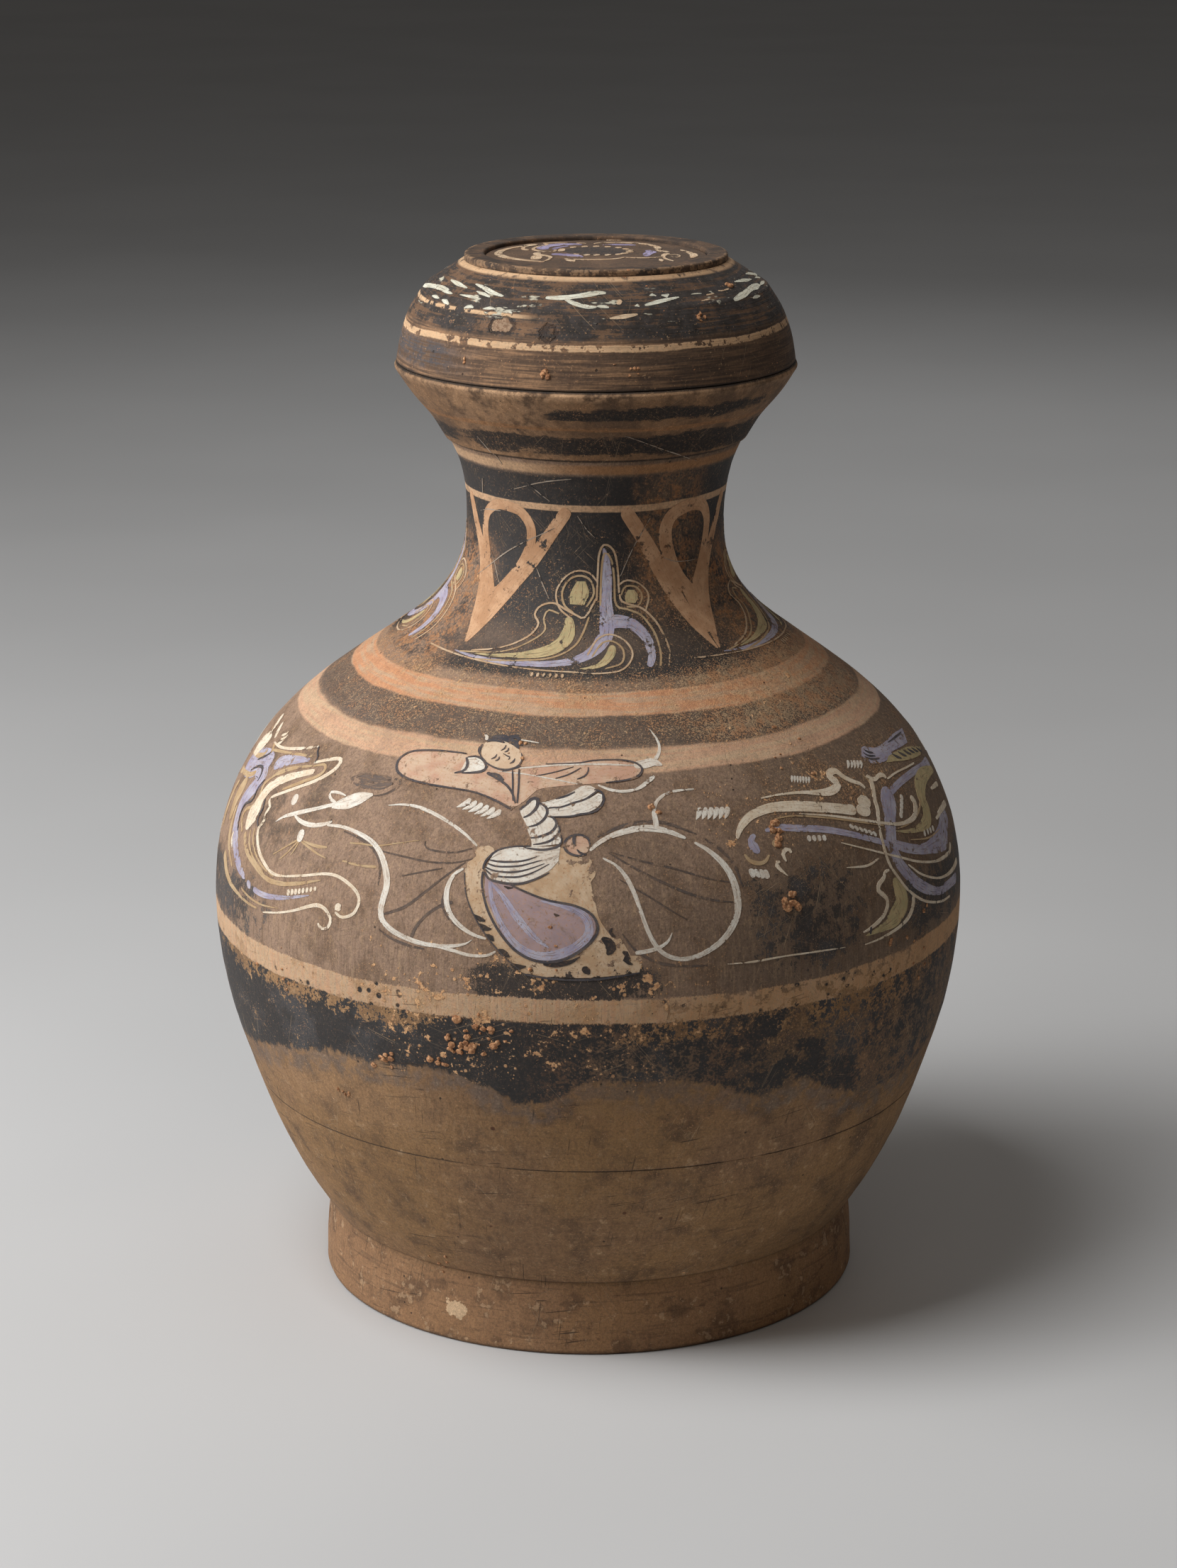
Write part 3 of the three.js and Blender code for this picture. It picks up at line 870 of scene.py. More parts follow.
    # Painted shadow along the lid's lower edge, in the gap where it sits on the collar
    tint = mix(height.between(429.6, 431.1, 0.5) * 0.75, tint, colour(34, 26, 21))
    tint = tint * (grit * 1.2 + spots * 0.5 + level * 0.7 - 0.24)
    tint = tint.times(*WARMTH)
    rough = (grit - 0.5) * 0.16 + 0.84
    relief = grit * 0.12 + spots * 0.2 + level * 0.28 + lines * 0.12 + dust * 0.08 + smear * 0.2
    relief = relief - pits * 0.4 - burst * 0.8 - crack * 0.5 - scratch * 0.1
    return tint, rough, relief


lid_ground = shared("ground_of_the_lid", lid_ground)
LID_GROUND = material("lid_clay_and_slip", lid_ground)
for node in ("lid", "lid_ring"):
    members[node].data.materials.clear()
    members[node].data.materials.append(LID_GROUND)

# %% [markdown]
# ## Laying paint on a curved wall
#
# Real mineral paint is a thin film that stands a little proud and flakes off. So each brush stroke here is
# a sheet: a grid primitive whose vertices are laid on the wall, at an angle in degrees from the front and a
# height in millimetres. Solidify then gives it a back that lies 0.4 mm deep in the clay. The radii below
# follow the turned outlines and `on_wall` adds the unevenness, so that a film keeps the same small lift
# everywhere.

# %% Places on the outside
def outer_radius(nodes, height):
    """The largest radius that the outlines of the nodes reach at that height."""
    best = 0.0
    for node in nodes:
        line = outlines[node]
        for a, b in zip(line, line[1:]):
            if min(a[1], b[1]) <= height <= max(a[1], b[1]) and abs(a[1] - b[1]) > SAME_PLACE:
                best = max(best, a[0] + (b[0] - a[0]) * (height - a[1]) / (b[1] - a[1]))
    return best


LOWEST, HIGHEST = 2, 474
JAR_NODES = ("foot_ring", "lower_body", "upper_body", "mouth_collar")
RIM = round(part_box("mouth_collar")[1][2] / MM)
# The lid's lower edge is a little above the rim, so the radius at the rim is read half a millimetre higher.
RADII = [
    outer_radius(JAR_NODES if mm < RIM else ("lid",), (mm + 0.5 * (mm == RIM)) * MM)
    for mm in range(LOWEST, HIGHEST)
]
BOSS_TOP = max(p[1] for p in outlines["lid"])


def radius_at(mm):
    place = min(max(mm - LOWEST, 0), len(RADII) - 1.001)
    i = int(place)
    return RADII[i] + (RADII[i + 1] - RADII[i]) * (place - i)


def slope_at(mm):
    return (radius_at(mm + 1) - radius_at(mm - 1)) / (2 * MM)


def on_wall(degrees, mm, lift):
    """The point of the outer wall at that angle and height, lift millimetres off it."""
    slope = slope_at(mm)
    out = Vector((1, -slope)).normalized() * lift * MM
    angle = math.radians(degrees)
    radius = radius_at(mm) + wobble(angle, mm * MM) + out[0]
    axis = lean(mm * MM)
    return Vector((axis + radius * math.sin(angle), -radius * math.cos(angle), mm * MM + out[1]))


def on_lid_top(x, y, lift):
    return Vector((LEAN + x * MM, y * MM, BOSS_TOP + lift * MM))


def wall_scale(mm):
    """Millimetres on the wall for one degree round it, and for one millimetre of height."""
    return radius_at(mm) / MM * math.radians(1), math.hypot(1, slope_at(mm))


def flat_scale(_):
    return 1, 1


print("radii from", LOWEST, "to", HIGHEST, "mm; belly", round(max(RADII) / MM, 1), "mm")

# %% [markdown]
# A sheet is a list of rows of places. `stroke` makes one from the line that the brush took and the widths
# along it, with round ends, and `strokes` makes a list of them. `between` fills the space from one edge to
# another. `dab` is a single touch of the brush.

# %% Strokes
SAMPLES_A_SPAN = 8
TINY = 1e-9
CAP_STOPS = (0.03, 0.13, 0.35)
WIDE_STROKE = 4.5
THINNEST_HALF = 0.06
LOOK_ROUND = 0.3


def pairs(line):
    """The places of a line. It may be one list of numbers: x, y, x, y and so on."""
    return list(zip(line[::2], line[1::2])) if isinstance(line[0], (int, float)) else line


def walk(line, scale):
    """A smooth line: a function from the length walked to a place, and the whole length."""
    points = [Vector(p) for p in pairs(line)]
    count = SAMPLES_A_SPAN * (len(points) - 1)
    dense = [catmull_rom(points, k / SAMPLES_A_SPAN) for k in range(count + 1)]
    lengths = [0.0]
    for a, b in zip(dense, dense[1:]):
        across, up = scale((a[1] + b[1]) / 2)
        lengths.append(lengths[-1] + math.hypot((b[0] - a[0]) * across, (b[1] - a[1]) * up))

    def at(length):
        length = min(max(length, 0.0), lengths[-1])
        k = next(i for i in range(1, len(lengths)) if lengths[i] >= length - TINY)
        share = (length - lengths[k - 1]) / max(lengths[k] - lengths[k - 1], TINY)
        return dense[k - 1].lerp(dense[k], share)

    return at, lengths[-1]


def stroke(points, widths, scale=wall_scale, step=1.7):
    """One brush stroke along the points, as wide as the widths say, evenly from its start to its end."""
    at, total = walk(points, scale)
    widths = widths if isinstance(widths, (list, tuple)) else (widths, widths)

    def half_width(length):
        t = length / total * (len(widths) - 1)
        i = min(int(t), len(widths) - 2)
        return (widths[i] + (widths[i + 1] - widths[i]) * (t - i)) / 2

    def cap(length, radius):
        return 1 if length >= radius else math.sqrt(1 - (1 - length / radius) ** 2)

    start, finish = half_width(0), half_width(total)
    stops = [total * k / max(2, round(total / step)) for k in range(max(2, round(total / step)) + 1)]
    stops += [start * c for c in CAP_STOPS] + [total - finish * c for c in CAP_STOPS]
    lanes = 5 if max(widths) > WIDE_STROKE else 3
    rows = []
    for length in sorted(v for v in stops if 0 < v < total):
        here = at(length)
        across, up = scale(here[1])
        way = at(length + LOOK_ROUND) - at(length - LOOK_ROUND)
        way = Vector((way[0] * across, way[1] * up)).normalized()
        half = max(THINNEST_HALF, half_width(length) * cap(length, start) * cap(total - length, finish))
        offsets = [half * (2 * j / (lanes - 1) - 1) for j in range(lanes)]
        rows.append([(here[0] - way[1] * v / across, here[1] + way[0] * v / up) for v in offsets])
    return rows


def between(lower, upper, scale=wall_scale, step=2.2, lane=3.0):
    """A filled shape between a lower or left edge and an upper or right one; their ends stay a bit apart."""
    at_lower, lower_length = walk(lower, scale)
    at_upper, upper_length = walk(upper, scale)
    count = max(3, round(max(lower_length, upper_length) / step))
    ends = [(at_lower(lower_length * k / count), at_upper(upper_length * k / count))
            for k in range(count + 1)]
    widest = max(math.hypot((b - a)[0] * scale(a[1])[0], (b - a)[1] * scale(a[1])[1]) for a, b in ends)
    lanes = max(2, round(widest / lane))
    return [[tuple(a.lerp(b, j / lanes)) for j in range(lanes + 1)] for a, b in ends]


def dab(x, y, length, width, turn=0.0, scale=wall_scale):
    """One touch of the brush; turn is its tilt in degrees from upright, to the right."""
    across, up = scale(y)
    reach = max(length, width) / 2
    dx = reach * math.sin(math.radians(turn)) / across
    dy = reach * math.cos(math.radians(turn)) / up
    line = [(x - dx, y - dy), (x, y), (x + dx, y + dy)]
    return stroke(line, (width * 0.86, width, width * 0.86), scale, step=0.8)


def strokes(items, scale=wall_scale):
    """A list of sheets, in which a pair of a line and its widths stands for a stroke."""
    return [stroke(*item, scale) if isinstance(item, tuple) else item for item in items]


def shifted(shapes, degrees):
    """The same shapes, turned round the jar."""
    return [[[(x + degrees, y) for x, y in row] for row in rows] for rows in shapes]


# %% [markdown]
# `film` turns a list of sheets into one piece: it adds the grids, lays them on the wall, joins them and
# gives them their thickness. Each sheet keeps a UV map in centimetres along the stroke and from 0 to 1
# across it, for the marks of the bristles.

# %% Films
FILM_DEPTH = 0.4
CREASE = math.radians(40)
CENTIMETRE = 10
# How far above a film a point is taken to see which way is out, in millimetres
ABOVE = 5
films = []


def film(name, shapes, coat, slot, lift, place=on_wall, scale=wall_scale, body="jar"):
    """A piece of paint from sheets; lift is how many millimetres it stands off the wall."""
    sheets = []
    for rows in shapes:
        along, across = len(rows), len(rows[0])
        bpy.ops.mesh.primitive_grid_add(x_subdivisions=along - 1, y_subdivisions=across - 1, size=1)
        sheet = bpy.context.object
        for index, vertex in enumerate(sheet.data.vertices):
            vertex.co = place(*rows[index % along][index // along], lift)
        walked = [0.0]
        for a, b in zip(rows, rows[1:]):
            i = across // 2
            x_scale, y_scale = scale(a[i][1])
            gone = math.hypot((b[i][0] - a[i][0]) * x_scale, (b[i][1] - a[i][1]) * y_scale)
            walked.append(walked[-1] + gone)
        for loop, uv in zip(sheet.data.loops, sheet.data.uv_layers[0].data):
            column, row = loop.vertex_index // along, loop.vertex_index % along
            uv.uv = (walked[row] / CENTIMETRE, column / (across - 1))
        middle = sheet.data.polygons[len(sheet.data.polygons) // 2]
        x, y = rows[along // 2][across // 2]
        if middle.normal.dot(place(x, y, lift + ABOVE) - place(x, y, lift)) < 0:
            sheet.data.flip_normals()
        sheets.append(sheet)
    bpy.ops.object.select_all(action="DESELECT")
    for sheet in sheets:
        sheet.select_set(True)
    piece = sheets[0]
    bpy.context.view_layer.objects.active = piece
    if len(sheets) > 1:
        bpy.ops.object.join()
    bpy.ops.object.transform_apply()
    bpy.ops.object.modifier_add(type="SOLIDIFY")
    piece.modifiers[-1].thickness = (FILM_DEPTH + lift) * MM
    piece.modifiers[-1].offset = -1
    bpy.ops.object.modifier_apply(modifier=piece.modifiers[-1].name)
    bpy.ops.object.shade_smooth_by_angle(angle=CREASE)
    piece.name = name
    piece.data.materials.clear()
    piece.data.materials.append(coat)
    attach(piece, body)
    films.append(name)


# %% [markdown]
# ## Mineral paint
#
# The paint is matt and uneven. It has rubbed off in flecks, the bristles left dry lines in it, and soil
# clings to it. Where it has gone, the shader shows the ground of the same place, so a worn stroke needs no
# hole in its mesh.

# %% Paint
def paint(name, first, second, wear, ground=jar_ground, dry=0.3, dirt=0.3):
    """wear is the share that has flaked off, dry the depth of the bristle marks, dirt how much soil clings.

    Both masks of wear come from noise about 0.5 with a spread of about 0.1, hence their odd limits.
    """
    def build(start):
        under, under_rough, under_relief = ground(start)
        place = start.place()
        marks = start.node("TexCoord", output=2)
        side = marks.along(0, 1, 0)
        middle = side * (1 - side) * 4
        flakes = place.grain(5, 5, 0.65, 51) * 0.75 + place.grain(26, 2, 0.5, 53) * 0.25
        flakes = flakes + (1 - middle) ** 3 * 0.06
        tone = place.grain(8, 4, 0.6, 57)
        bristles = marks.times(1.2, 9, 1).grain(1, 3, 0.6)
        grit = place.grain(1.0, 3, 0.65, 59)
        worn = (flakes + grit * 0.12 - 0.06).smooth(0.7 - wear * 0.4, 0.66 - wear * 0.4) * -1 + 1
        worn = worn.larger(bristles.smooth(0.66 - dry * 0.35, 0.72 - dry * 0.3) * min(1, dry * 2.2))
        tint = mix(tone.smooth(0.35, 0.65), first, second)
        tint = mix(bristles.smooth(0.45, 0.65) * dry, tint, under)
        tint = mix(grit.smooth(0.5, 0.66) * dirt, tint, SOIL)
        tint = mix((grit * 0.6 + flakes * 0.5).smooth(0.6, 0.68) * dirt, tint, CLAY_DARK)
        relief = under_relief * worn + (1 - worn) * (grit * 0.08 + bristles * 0.08 + 0.12)
        return mix(worn, tint, under), under_rough * worn + (1 - worn) * 0.9, relief
    return material(name, build)


WHITE = paint("white_paint", colour(232, 226, 214), colour(218, 206, 190), 0.16, dry=0.24, dirt=0.3)
PALE = paint("pale_paint", colour(234, 220, 198), colour(220, 202, 176), 0.16, dry=0.18, dirt=0.4)
CREAM_PAINT = paint("cream_paint", colour(208, 182, 152), colour(190, 158, 124), 0.24, dry=0.15, dirt=0.5)
SLEEVE = paint("sleeve_paint", colour(206, 178, 152), colour(196, 154, 130), 0.2, dry=0.15, dirt=0.45)
FACE = paint("face_paint", colour(218, 194, 166), colour(206, 176, 146), 0.1, dry=0.1, dirt=0.2)
PEACH = paint("peach_paint", colour(206, 164, 128), colour(184, 140, 104), 0.14, dry=0.12, dirt=0.6)
LAVENDER = paint("lavender_paint", colour(180, 176, 190), colour(158, 152, 174), 0.2, dry=0.25, dirt=0.35)
ROSE_GREY = paint("rose_grey_paint", colour(170, 144, 142), colour(158, 136, 138), 0.14, dry=0.2, dirt=0.4)
OCHRE = paint("ochre_paint", colour(178, 148, 110), colour(192, 166, 130), 0.18, dry=0.2, dirt=0.3)
OLIVE = paint("olive_paint", colour(196, 176, 132), colour(176, 162, 120), 0.2, dry=0.25, dirt=0.4)
FLAKED = paint("flaked_to_the_slip", colour(44, 40, 40), colour(64, 55, 50), 0.04, dry=0.05, dirt=0.15)
DARK_LINE = paint("dark_line", colour(60, 60, 68), colour(84, 80, 82), 0.2, dry=0.3, dirt=0.1)
SHADOW_LINE = paint("faint_dark_line", colour(92, 82, 78), colour(110, 94, 84), 0.3, dry=0.45, dirt=0.1)
SCRATCH = paint("scratched_line", colour(182, 168, 152), colour(160, 144, 128), 0.3, dry=0.1, dirt=0.2)

# %% [markdown]
# ## Paint on the neck
#
# Four long triangles hang from the cream line, each with a drop inside, and a cloud scroll stands between
# them. The front ones were read from the picture, and the hidden side repeats them, as painted friezes do.

# %% Neck
QUARTERS = (0, 90, 180, 270)

open_triangle = strokes([
    ([-72, 373, -66, 361, -59, 349, -52.5, 335, -47.5, 323, -44.6, 313], (5.5, 5, 5, 5.5, 6, 1)),
    ([-12, 373, -20, 361, -28, 349, -36, 337, -41.5, 325, -44.2, 313], (5.5, 6, 7, 7, 6, 1)),
    ([-45.5, 332, -50.5, 340, -55.3, 350, -57.4, 359, -55.5, 366.5, -49, 371, -43, 371.5, -35, 370, -29.8,
     364, -29.5, 356, -33, 347, -38.5, 339, -44, 332], 4.6),
    between([-50, 334, -46.5, 323, -45, 316], [-40.5, 336, -42.5, 324, -44, 316]),
    between([-52, 335, -56, 346, -60, 355], [-49, 336, -53.5, 347, -57.5, 355]),
    between([-40, 336, -34.5, 346, -31, 354], [-36, 337, -30, 346, -26, 352]),
])
filled_triangle = strokes([
    ([12, 373, 20, 361, 26, 351, 33, 337, 38.5, 324, 42.6, 311], (6, 6.5, 7.5, 7.5, 6.5, 1)),
    ([74, 373, 68, 360, 60, 348, 52, 335, 47, 323, 43.4, 311], (5.5, 5, 5.5, 7, 6, 1)),
    ([44, 334, 38.5, 341, 34, 351, 32, 361, 35, 368, 42, 371, 48, 371.5, 55, 369.5, 59, 363, 58, 354,
     53.5, 344, 46.5, 335], (5, 7, 6, 5, 5)),
    between([38.5, 337, 40.5, 327, 42.3, 317], [49.5, 336, 46.2, 326, 43.6, 317]),
    between([28, 350, 33, 341, 38, 334], [33.5, 352, 37, 343, 41, 336]),
    between([47, 336, 54, 344, 59, 352], [50, 335, 57, 343, 63, 352]),
])
triangles = open_triangle + filled_triangle + shifted(open_triangle, 180) + shifted(filled_triangle, 180)
film("neck_triangles", triangles, PEACH, "cream_paint", lift=0.12)
scratches = strokes([
    ([-58, 338, -40, 352, -18, 364], (0.3, 0.6, 0.3)),
    ([-62, 366, -55, 368, -46, 368.6], (0.3, 0.5, 0.3)),
    ([-26, 346, -22, 339, -18, 333], (0.3, 0.5, 0.3)),
    ([-8, 370, -4, 364, 0, 360], (0.3, 0.5, 0.3)),
    ([24, 368, 17, 356, 11, 343], (0.3, 0.5, 0.3)),
    ([-58, 375, -57, 379, -56, 382], 0.5),
    ([-37, 380, -22, 385, -5, 388], (0.3, 0.5, 0.3)),
    ([9, 409, 26, 400, 44, 392], (0.2, 0.5, 0.4)),
    ([-46, 404, -43, 398, -40, 391], (0.3, 0.5, 0.3)),
    ([-30, 384, -24, 379, -20, 376], (0.2, 0.4, 0.2)),
    ([30, 350, 38, 347, 50, 346], (0.2, 0.4, 0.2)),
    ([-52, 350, -46, 341, -42, 336], (0.2, 0.4, 0.2)),
])
film("neck_scratches", scratches, SCRATCH, "earthenware", lift=0.2)

scroll_lavender = strokes([
    ([3.6, 355.5, 5, 350, 5.3, 342, 4.8, 334, 5.2, 325, 4.6, 317], (1.2, 3.8, 5, 5.6, 7, 5)),
    ([5, 324.5, 10, 324.8, 15, 323, 18.6, 318, 18.8, 312, 17, 308], (7, 6, 5.4, 4.6, 3.8, 2.6)),
    ([4.5, 320, 1.5, 315, -4, 311.2, -12, 309.3, -24, 308.6, -36, 308.8, -46, 309.6], (7, 5, 3.6, 3, 2.4,
     1.8, 0.6)),
])
scroll_cream = strokes([
    ([1.2, 333, 1.4, 345, 1.8, 353, 4, 357.2, 8.2, 354, 10, 345, 10.6, 334, 13.5, 331.5, 19.5, 329, 24,
     322.5, 25.2, 314, 23, 308], 0.9),
    ([-8.5, 326, -13.5, 330, -15.5, 336.5, -12, 343, -7, 345.5, -2, 344.5, 1.2, 341], 0.8),
    ([9.8, 339, 13.5, 341.2, 19, 339.5, 22.6, 334.5, 20.5, 328.5], 0.8),
    ([1, 334, -3, 326.5, -6.5, 327.3, -11, 329.4, -16, 331.6, -21, 330, -22.5, 326.5, -20, 323, -22.5,
     318, -30, 313.3, -40, 310.6], 0.9),
    ([-1.4, 312.5, 1.5, 318, 6, 320, 11, 317.5, 12.8, 312.5, 9, 307.6, 2, 306.4, -6, 306.8, -16, 307, -30,
     307.6, -58, 309.3], 0.8),
])
scroll_ochre = strokes([
    ([2.7, 331, 2.9, 344, 3.4, 351, 4.6, 353.6, 7.2, 350, 8.4, 342, 8.9, 331.4, 13.5, 329.2, 18.5, 326.5,
     21.8, 320, 22, 313, 20.4, 308], 0.9),
    ([-7.5, 328, -11.5, 331, -13, 336.5, -10.5, 341.6, -6, 343.4, -1.6, 341.5, 0, 336, -2.6, 330.6], 0.9),
    ([11, 335, 13, 338.6, 17.5, 338.2, 19.8, 334.3, 17.5, 330.4, 13, 330.3], 0.8),
    ([-1.5, 326.6, -3.4, 320.4, -6, 315.5, -12, 311.5, -22, 309.6, -38, 308], 0.9),
    ([0, 312, 3.2, 316.8, 7, 317.4, 10, 314.3, 9, 309.8, 4, 308], 0.8),
    ([-13, 327.5, -17.5, 328.6, -18.5, 325, -17, 321, -21, 316.5, -29, 312, -44, 309.6], 0.8),
])
scroll_pale = strokes([
    between([-9.3, 331.5, -9.6, 336, -7.2, 341], [-3.6, 331.2, -1.9, 336, -3.6, 341]),
    between([12.9, 332, 12.6, 334.8, 14.2, 337.2], [16.6, 331.6, 18.2, 334.4, 16.6, 337]),
    ([-9.2, 326.5, -8.4, 322, -9.5, 317.5, -13.5, 314, -20, 311.9, -29, 310.6, -38, 309.9], (3, 6.6, 6.4,
     4.6, 2.6, 1.6, 0.5)),
    ([6.8, 316, 5.8, 312.8, 3.5, 310, 0, 308.4, -3.5, 307.9], (3, 4, 3.4, 2, 0.6)),
])
scroll_dots = [dab(-16.8 + 1.75 * k, 305.4, 2.3, 1.3) for k in range(6)]
for name, shapes, coat, slot, lift in (
    ("neck_scroll_lavender", scroll_lavender, LAVENDER, "lavender_paint", 0.12),
    ("neck_scroll_cream", scroll_cream + scroll_dots, CREAM_PAINT, "cream_paint", 0.22),
    ("neck_scroll_ochre", scroll_ochre, OCHRE, "cream_paint", 0.17),
    ("neck_scroll_pale", scroll_pale, OLIVE, "cream_paint", 0.14),
):
    film(name, [sheet for turn in QUARTERS for sheet in shifted(shapes, turn)], coat, slot, lift)
print("neck painted")

# %% [markdown]
# ## The dancer
#
# A figure in long sleeves bends across the belly: peach sleeves, a cream robe with a violet panel, white
# folds down the body, and dark outlines over all. Small dark films on the robe are the places where its
# paint has flaked off. The face is small, calm and general, with its features at the usual shares of the
# head. Every colour is a film of its own with its own lift, because the painter laid one over the other.

# %% Dancer: grounds
robe = strokes([
    between([-17.6, 244.4, -17.6, 242, -18.7, 239.9, -18.9, 236.2, -18.4, 229, -16.8, 220, -14.6, 211,
            -12.2, 203.5, -9.6, 197.5, -6.8, 195.3], [-14.9, 245, -15.7, 242, -15.9, 238, -15.8, 234, -15,
            227, -13, 218, -10.6, 210.5, -8, 204.5, -5.7, 200.5, -4.6, 196]),
    ([-17.7, 243.6, -17.2, 245, -16.3, 245.8, -15.2, 245.6, -14.7, 244.4], (1, 2.4, 2.8, 2.4, 1)),
    between([-16, 238, -12, 232.6, -8, 228.6, -4, 226.6, -1, 224.5, 1.1, 219, 0.9, 212, -1.2, 206.5, -4.5,
            203, -5.5, 196], [-4.4, 247.6, -1.5, 246, 0.1, 244.6, 0.6, 241.4, 1.1, 237.6, 0.4, 234.4, 0.9,
            228, 1.6, 220, 3.4, 212.6, 4.6, 212, 5.4, 205.4, 7.3, 204.4, 7.5, 201.2, 7.1, 197.5],
            lane=3.5),
    between([-7, 196, -2, 195.4, 3, 196.2, 7.3, 197.6], [-7, 202, -2, 205.5, 1.5, 208, 5, 210]),
])
film("dancer_robe", robe, CREAM_PAINT, "cream_paint", lift=0.12)

flakes = strokes([
    ([-16.8, 219.8, -15.9, 218.4, -15, 217.6], (0.8, 2.2, 1.2)),
    ([-15.9, 216.2, -14.9, 214.6, -14, 214.6], (1.4, 2.6, 0.8)),
    ([-14.9, 212, -13.9, 211, -13.6, 209.6], (1, 2.4, 1.2)),
    ([-12.9, 206, -12, 205, -11.2, 203.4], (2, 3, 1)),
    ([-11, 200.6, -10, 199.4, -8.8, 199.8], (1.4, 2.4, 0.6)),
    ([-6.4, 201.2, -4.6, 201, -2.6, 202.2, -1.2, 204.6], (1.4, 2.4, 1.8, 0.6)),
    ([-0.9, 199.8, -0.2, 198.6, 0.1, 197], (2.6, 3.4, 1.4)),
    ([1.9, 212.6, 3, 210, 3.1, 207.4, 2.6, 205.4], (1.6, 3.8, 4.6, 1.6)),
    ([4.8, 206.6, 5.6, 204.8, 5.2, 202.6, 6.2, 201], (1.2, 3, 2, 0.8)),
    ([3.4, 216.4, 3, 214.6, 3.8, 213], (0.8, 1.8, 0.6)),
    ([-12.6, 232, -11.9, 231.4, -11.2, 231.6], (0.6, 1.2, 0.5)),
    ([-5, 222.2, -4.6, 221.4, -4.2, 221.5], (0.6, 1.2, 0.5)),
])
film("robe_flakes", flakes, FLAKED, "black_ground", lift=0.27)

sleeves = [
    between([-37.6, 271.8, -36.6, 268.8, -34, 267.3, -30, 266.6, -26, 266.4, -22, 266, -18, 264.8,
             -14.5, 262.6, -12.6, 260.8],
            [-37.4, 273.4, -36, 275.6, -33, 276.8, -29, 277.5, -25, 277.7, -21.5, 276.4, -18, 275.2,
             -15, 275, -12.4, 275.8], lane=3),
    between([-12.9, 260.8, -11.2, 263.4, -10, 266, -8.6, 268.2, -5, 269.4, 0, 270.3, 5, 271, 8.3, 272.2,
             9.7, 274.6],
            [-13.2, 275.4, -10.5, 276.2, -8, 276.8, -5, 277.6, -2, 278.1, 2, 278.2, 5, 278, 8, 277,
             9.5, 275.4], lane=3),
]
film("dancer_sleeves", sleeves, SLEEVE, "cream_paint", lift=0.14)

HEAD = (-17.4, 279.0)
HEAD_TURN = math.radians(-30)


def on_head(x, y):
    """A place on the tilted head, from millimetres to its right and up from its middle."""
    across, up = wall_scale(HEAD[1])
    right = x * math.cos(HEAD_TURN) - y * math.sin(HEAD_TURN)
    above = x * math.sin(HEAD_TURN) + y * math.cos(HEAD_TURN)
    return HEAD[0] + right / across, HEAD[1] + above / up


def head_line(points, widths):
    return stroke([on_head(x, y) for x, y in pairs(points)], widths, step=0.9)


FACE_HALF_LENGTH = 10.4
FACE_HALF_HEIGHT = 7.0
oval = [(FACE_HALF_LENGTH * math.cos(a), FACE_HALF_HEIGHT * math.sin(a))
        for a in (math.radians(180 - 12 * k) for k in range(16))]
oval[0], oval[-1] = (-FACE_HALF_LENGTH, 0.3), (FACE_HALF_LENGTH, 0.3)
face = [between([on_head(x, -y) for x, y in oval], [on_head(x, y) for x, y in oval], step=1.4, lane=1.6)]
film("dancer_face", face, FACE, "cream_paint", lift=0.2)

skirt = [between([-15.6, 236, -15.4, 229, -14, 221, -12, 211.5, -9.4, 205, -6.3, 202.9, -3.2, 204.6],
                 [-14.6, 236, -10.5, 231.4, -6.5, 228, -3, 226, 0.4, 221.5, 0.9, 214.5, -1.5, 206.5],
                 lane=3)]
film("dancer_skirt", skirt, ROSE_GREY, "lavender_paint", lift=0.18)
skirt_edge = strokes([
    ([-14.8, 234, -14.2, 226, -12.6, 217, -10.4, 209, -7.6, 204.6, -4.6, 205, -1.6, 209, 0.1, 215, -0.6,
     221.4, -3.4, 225, -7, 227], (1.5, 2.6, 4.4, 3.6, 0.8)),
    ([-14.6, 233, -12.6, 228, -10.6, 221, -8, 213, -5.6, 208], (0.8, 2.4, 3.2, 2.6, 0.8)),
])
film("dancer_skirt_edge", skirt_edge, LAVENDER, "lavender_paint", lift=0.24)

# %% Dancer: white folds
cuffs = strokes([
    between([-24.2, 271.8, -22.4, 271.9, -20.8, 272.4, -19.8, 273.6], [-23.9, 276.6, -22.4, 277.1, -20.9,
            276.4, -19.8, 274.8], lane=2),
    ([-13, 274.8, -8, 276, -3, 276.8, 3, 276.8, 8.5, 276.2], (0.8, 0.9, 1, 0.9, 0.7)),
    ([8.4, 276.2, 10.4, 276.5, 12.2, 277, 13.8, 275.8], (3.6, 4.4, 4.2, 1.2)),
    ([12.4, 277.4, 13.7, 280, 14.1, 283, 13.5, 286, 12.7, 288], (1.8, 1.4, 1, 0.8, 0.4)),
    ([-17, 273.2, -12, 272.9, -7, 271.8, -2, 270.2], (0.3, 0.6, 0.6, 0.4)),
    ([1.6, 269.9, 4, 268.1, 6.3, 267.6, 9, 268.7, 11.9, 272.4], (0.9, 1.3, 1.4, 1.7, 2.1)),
])
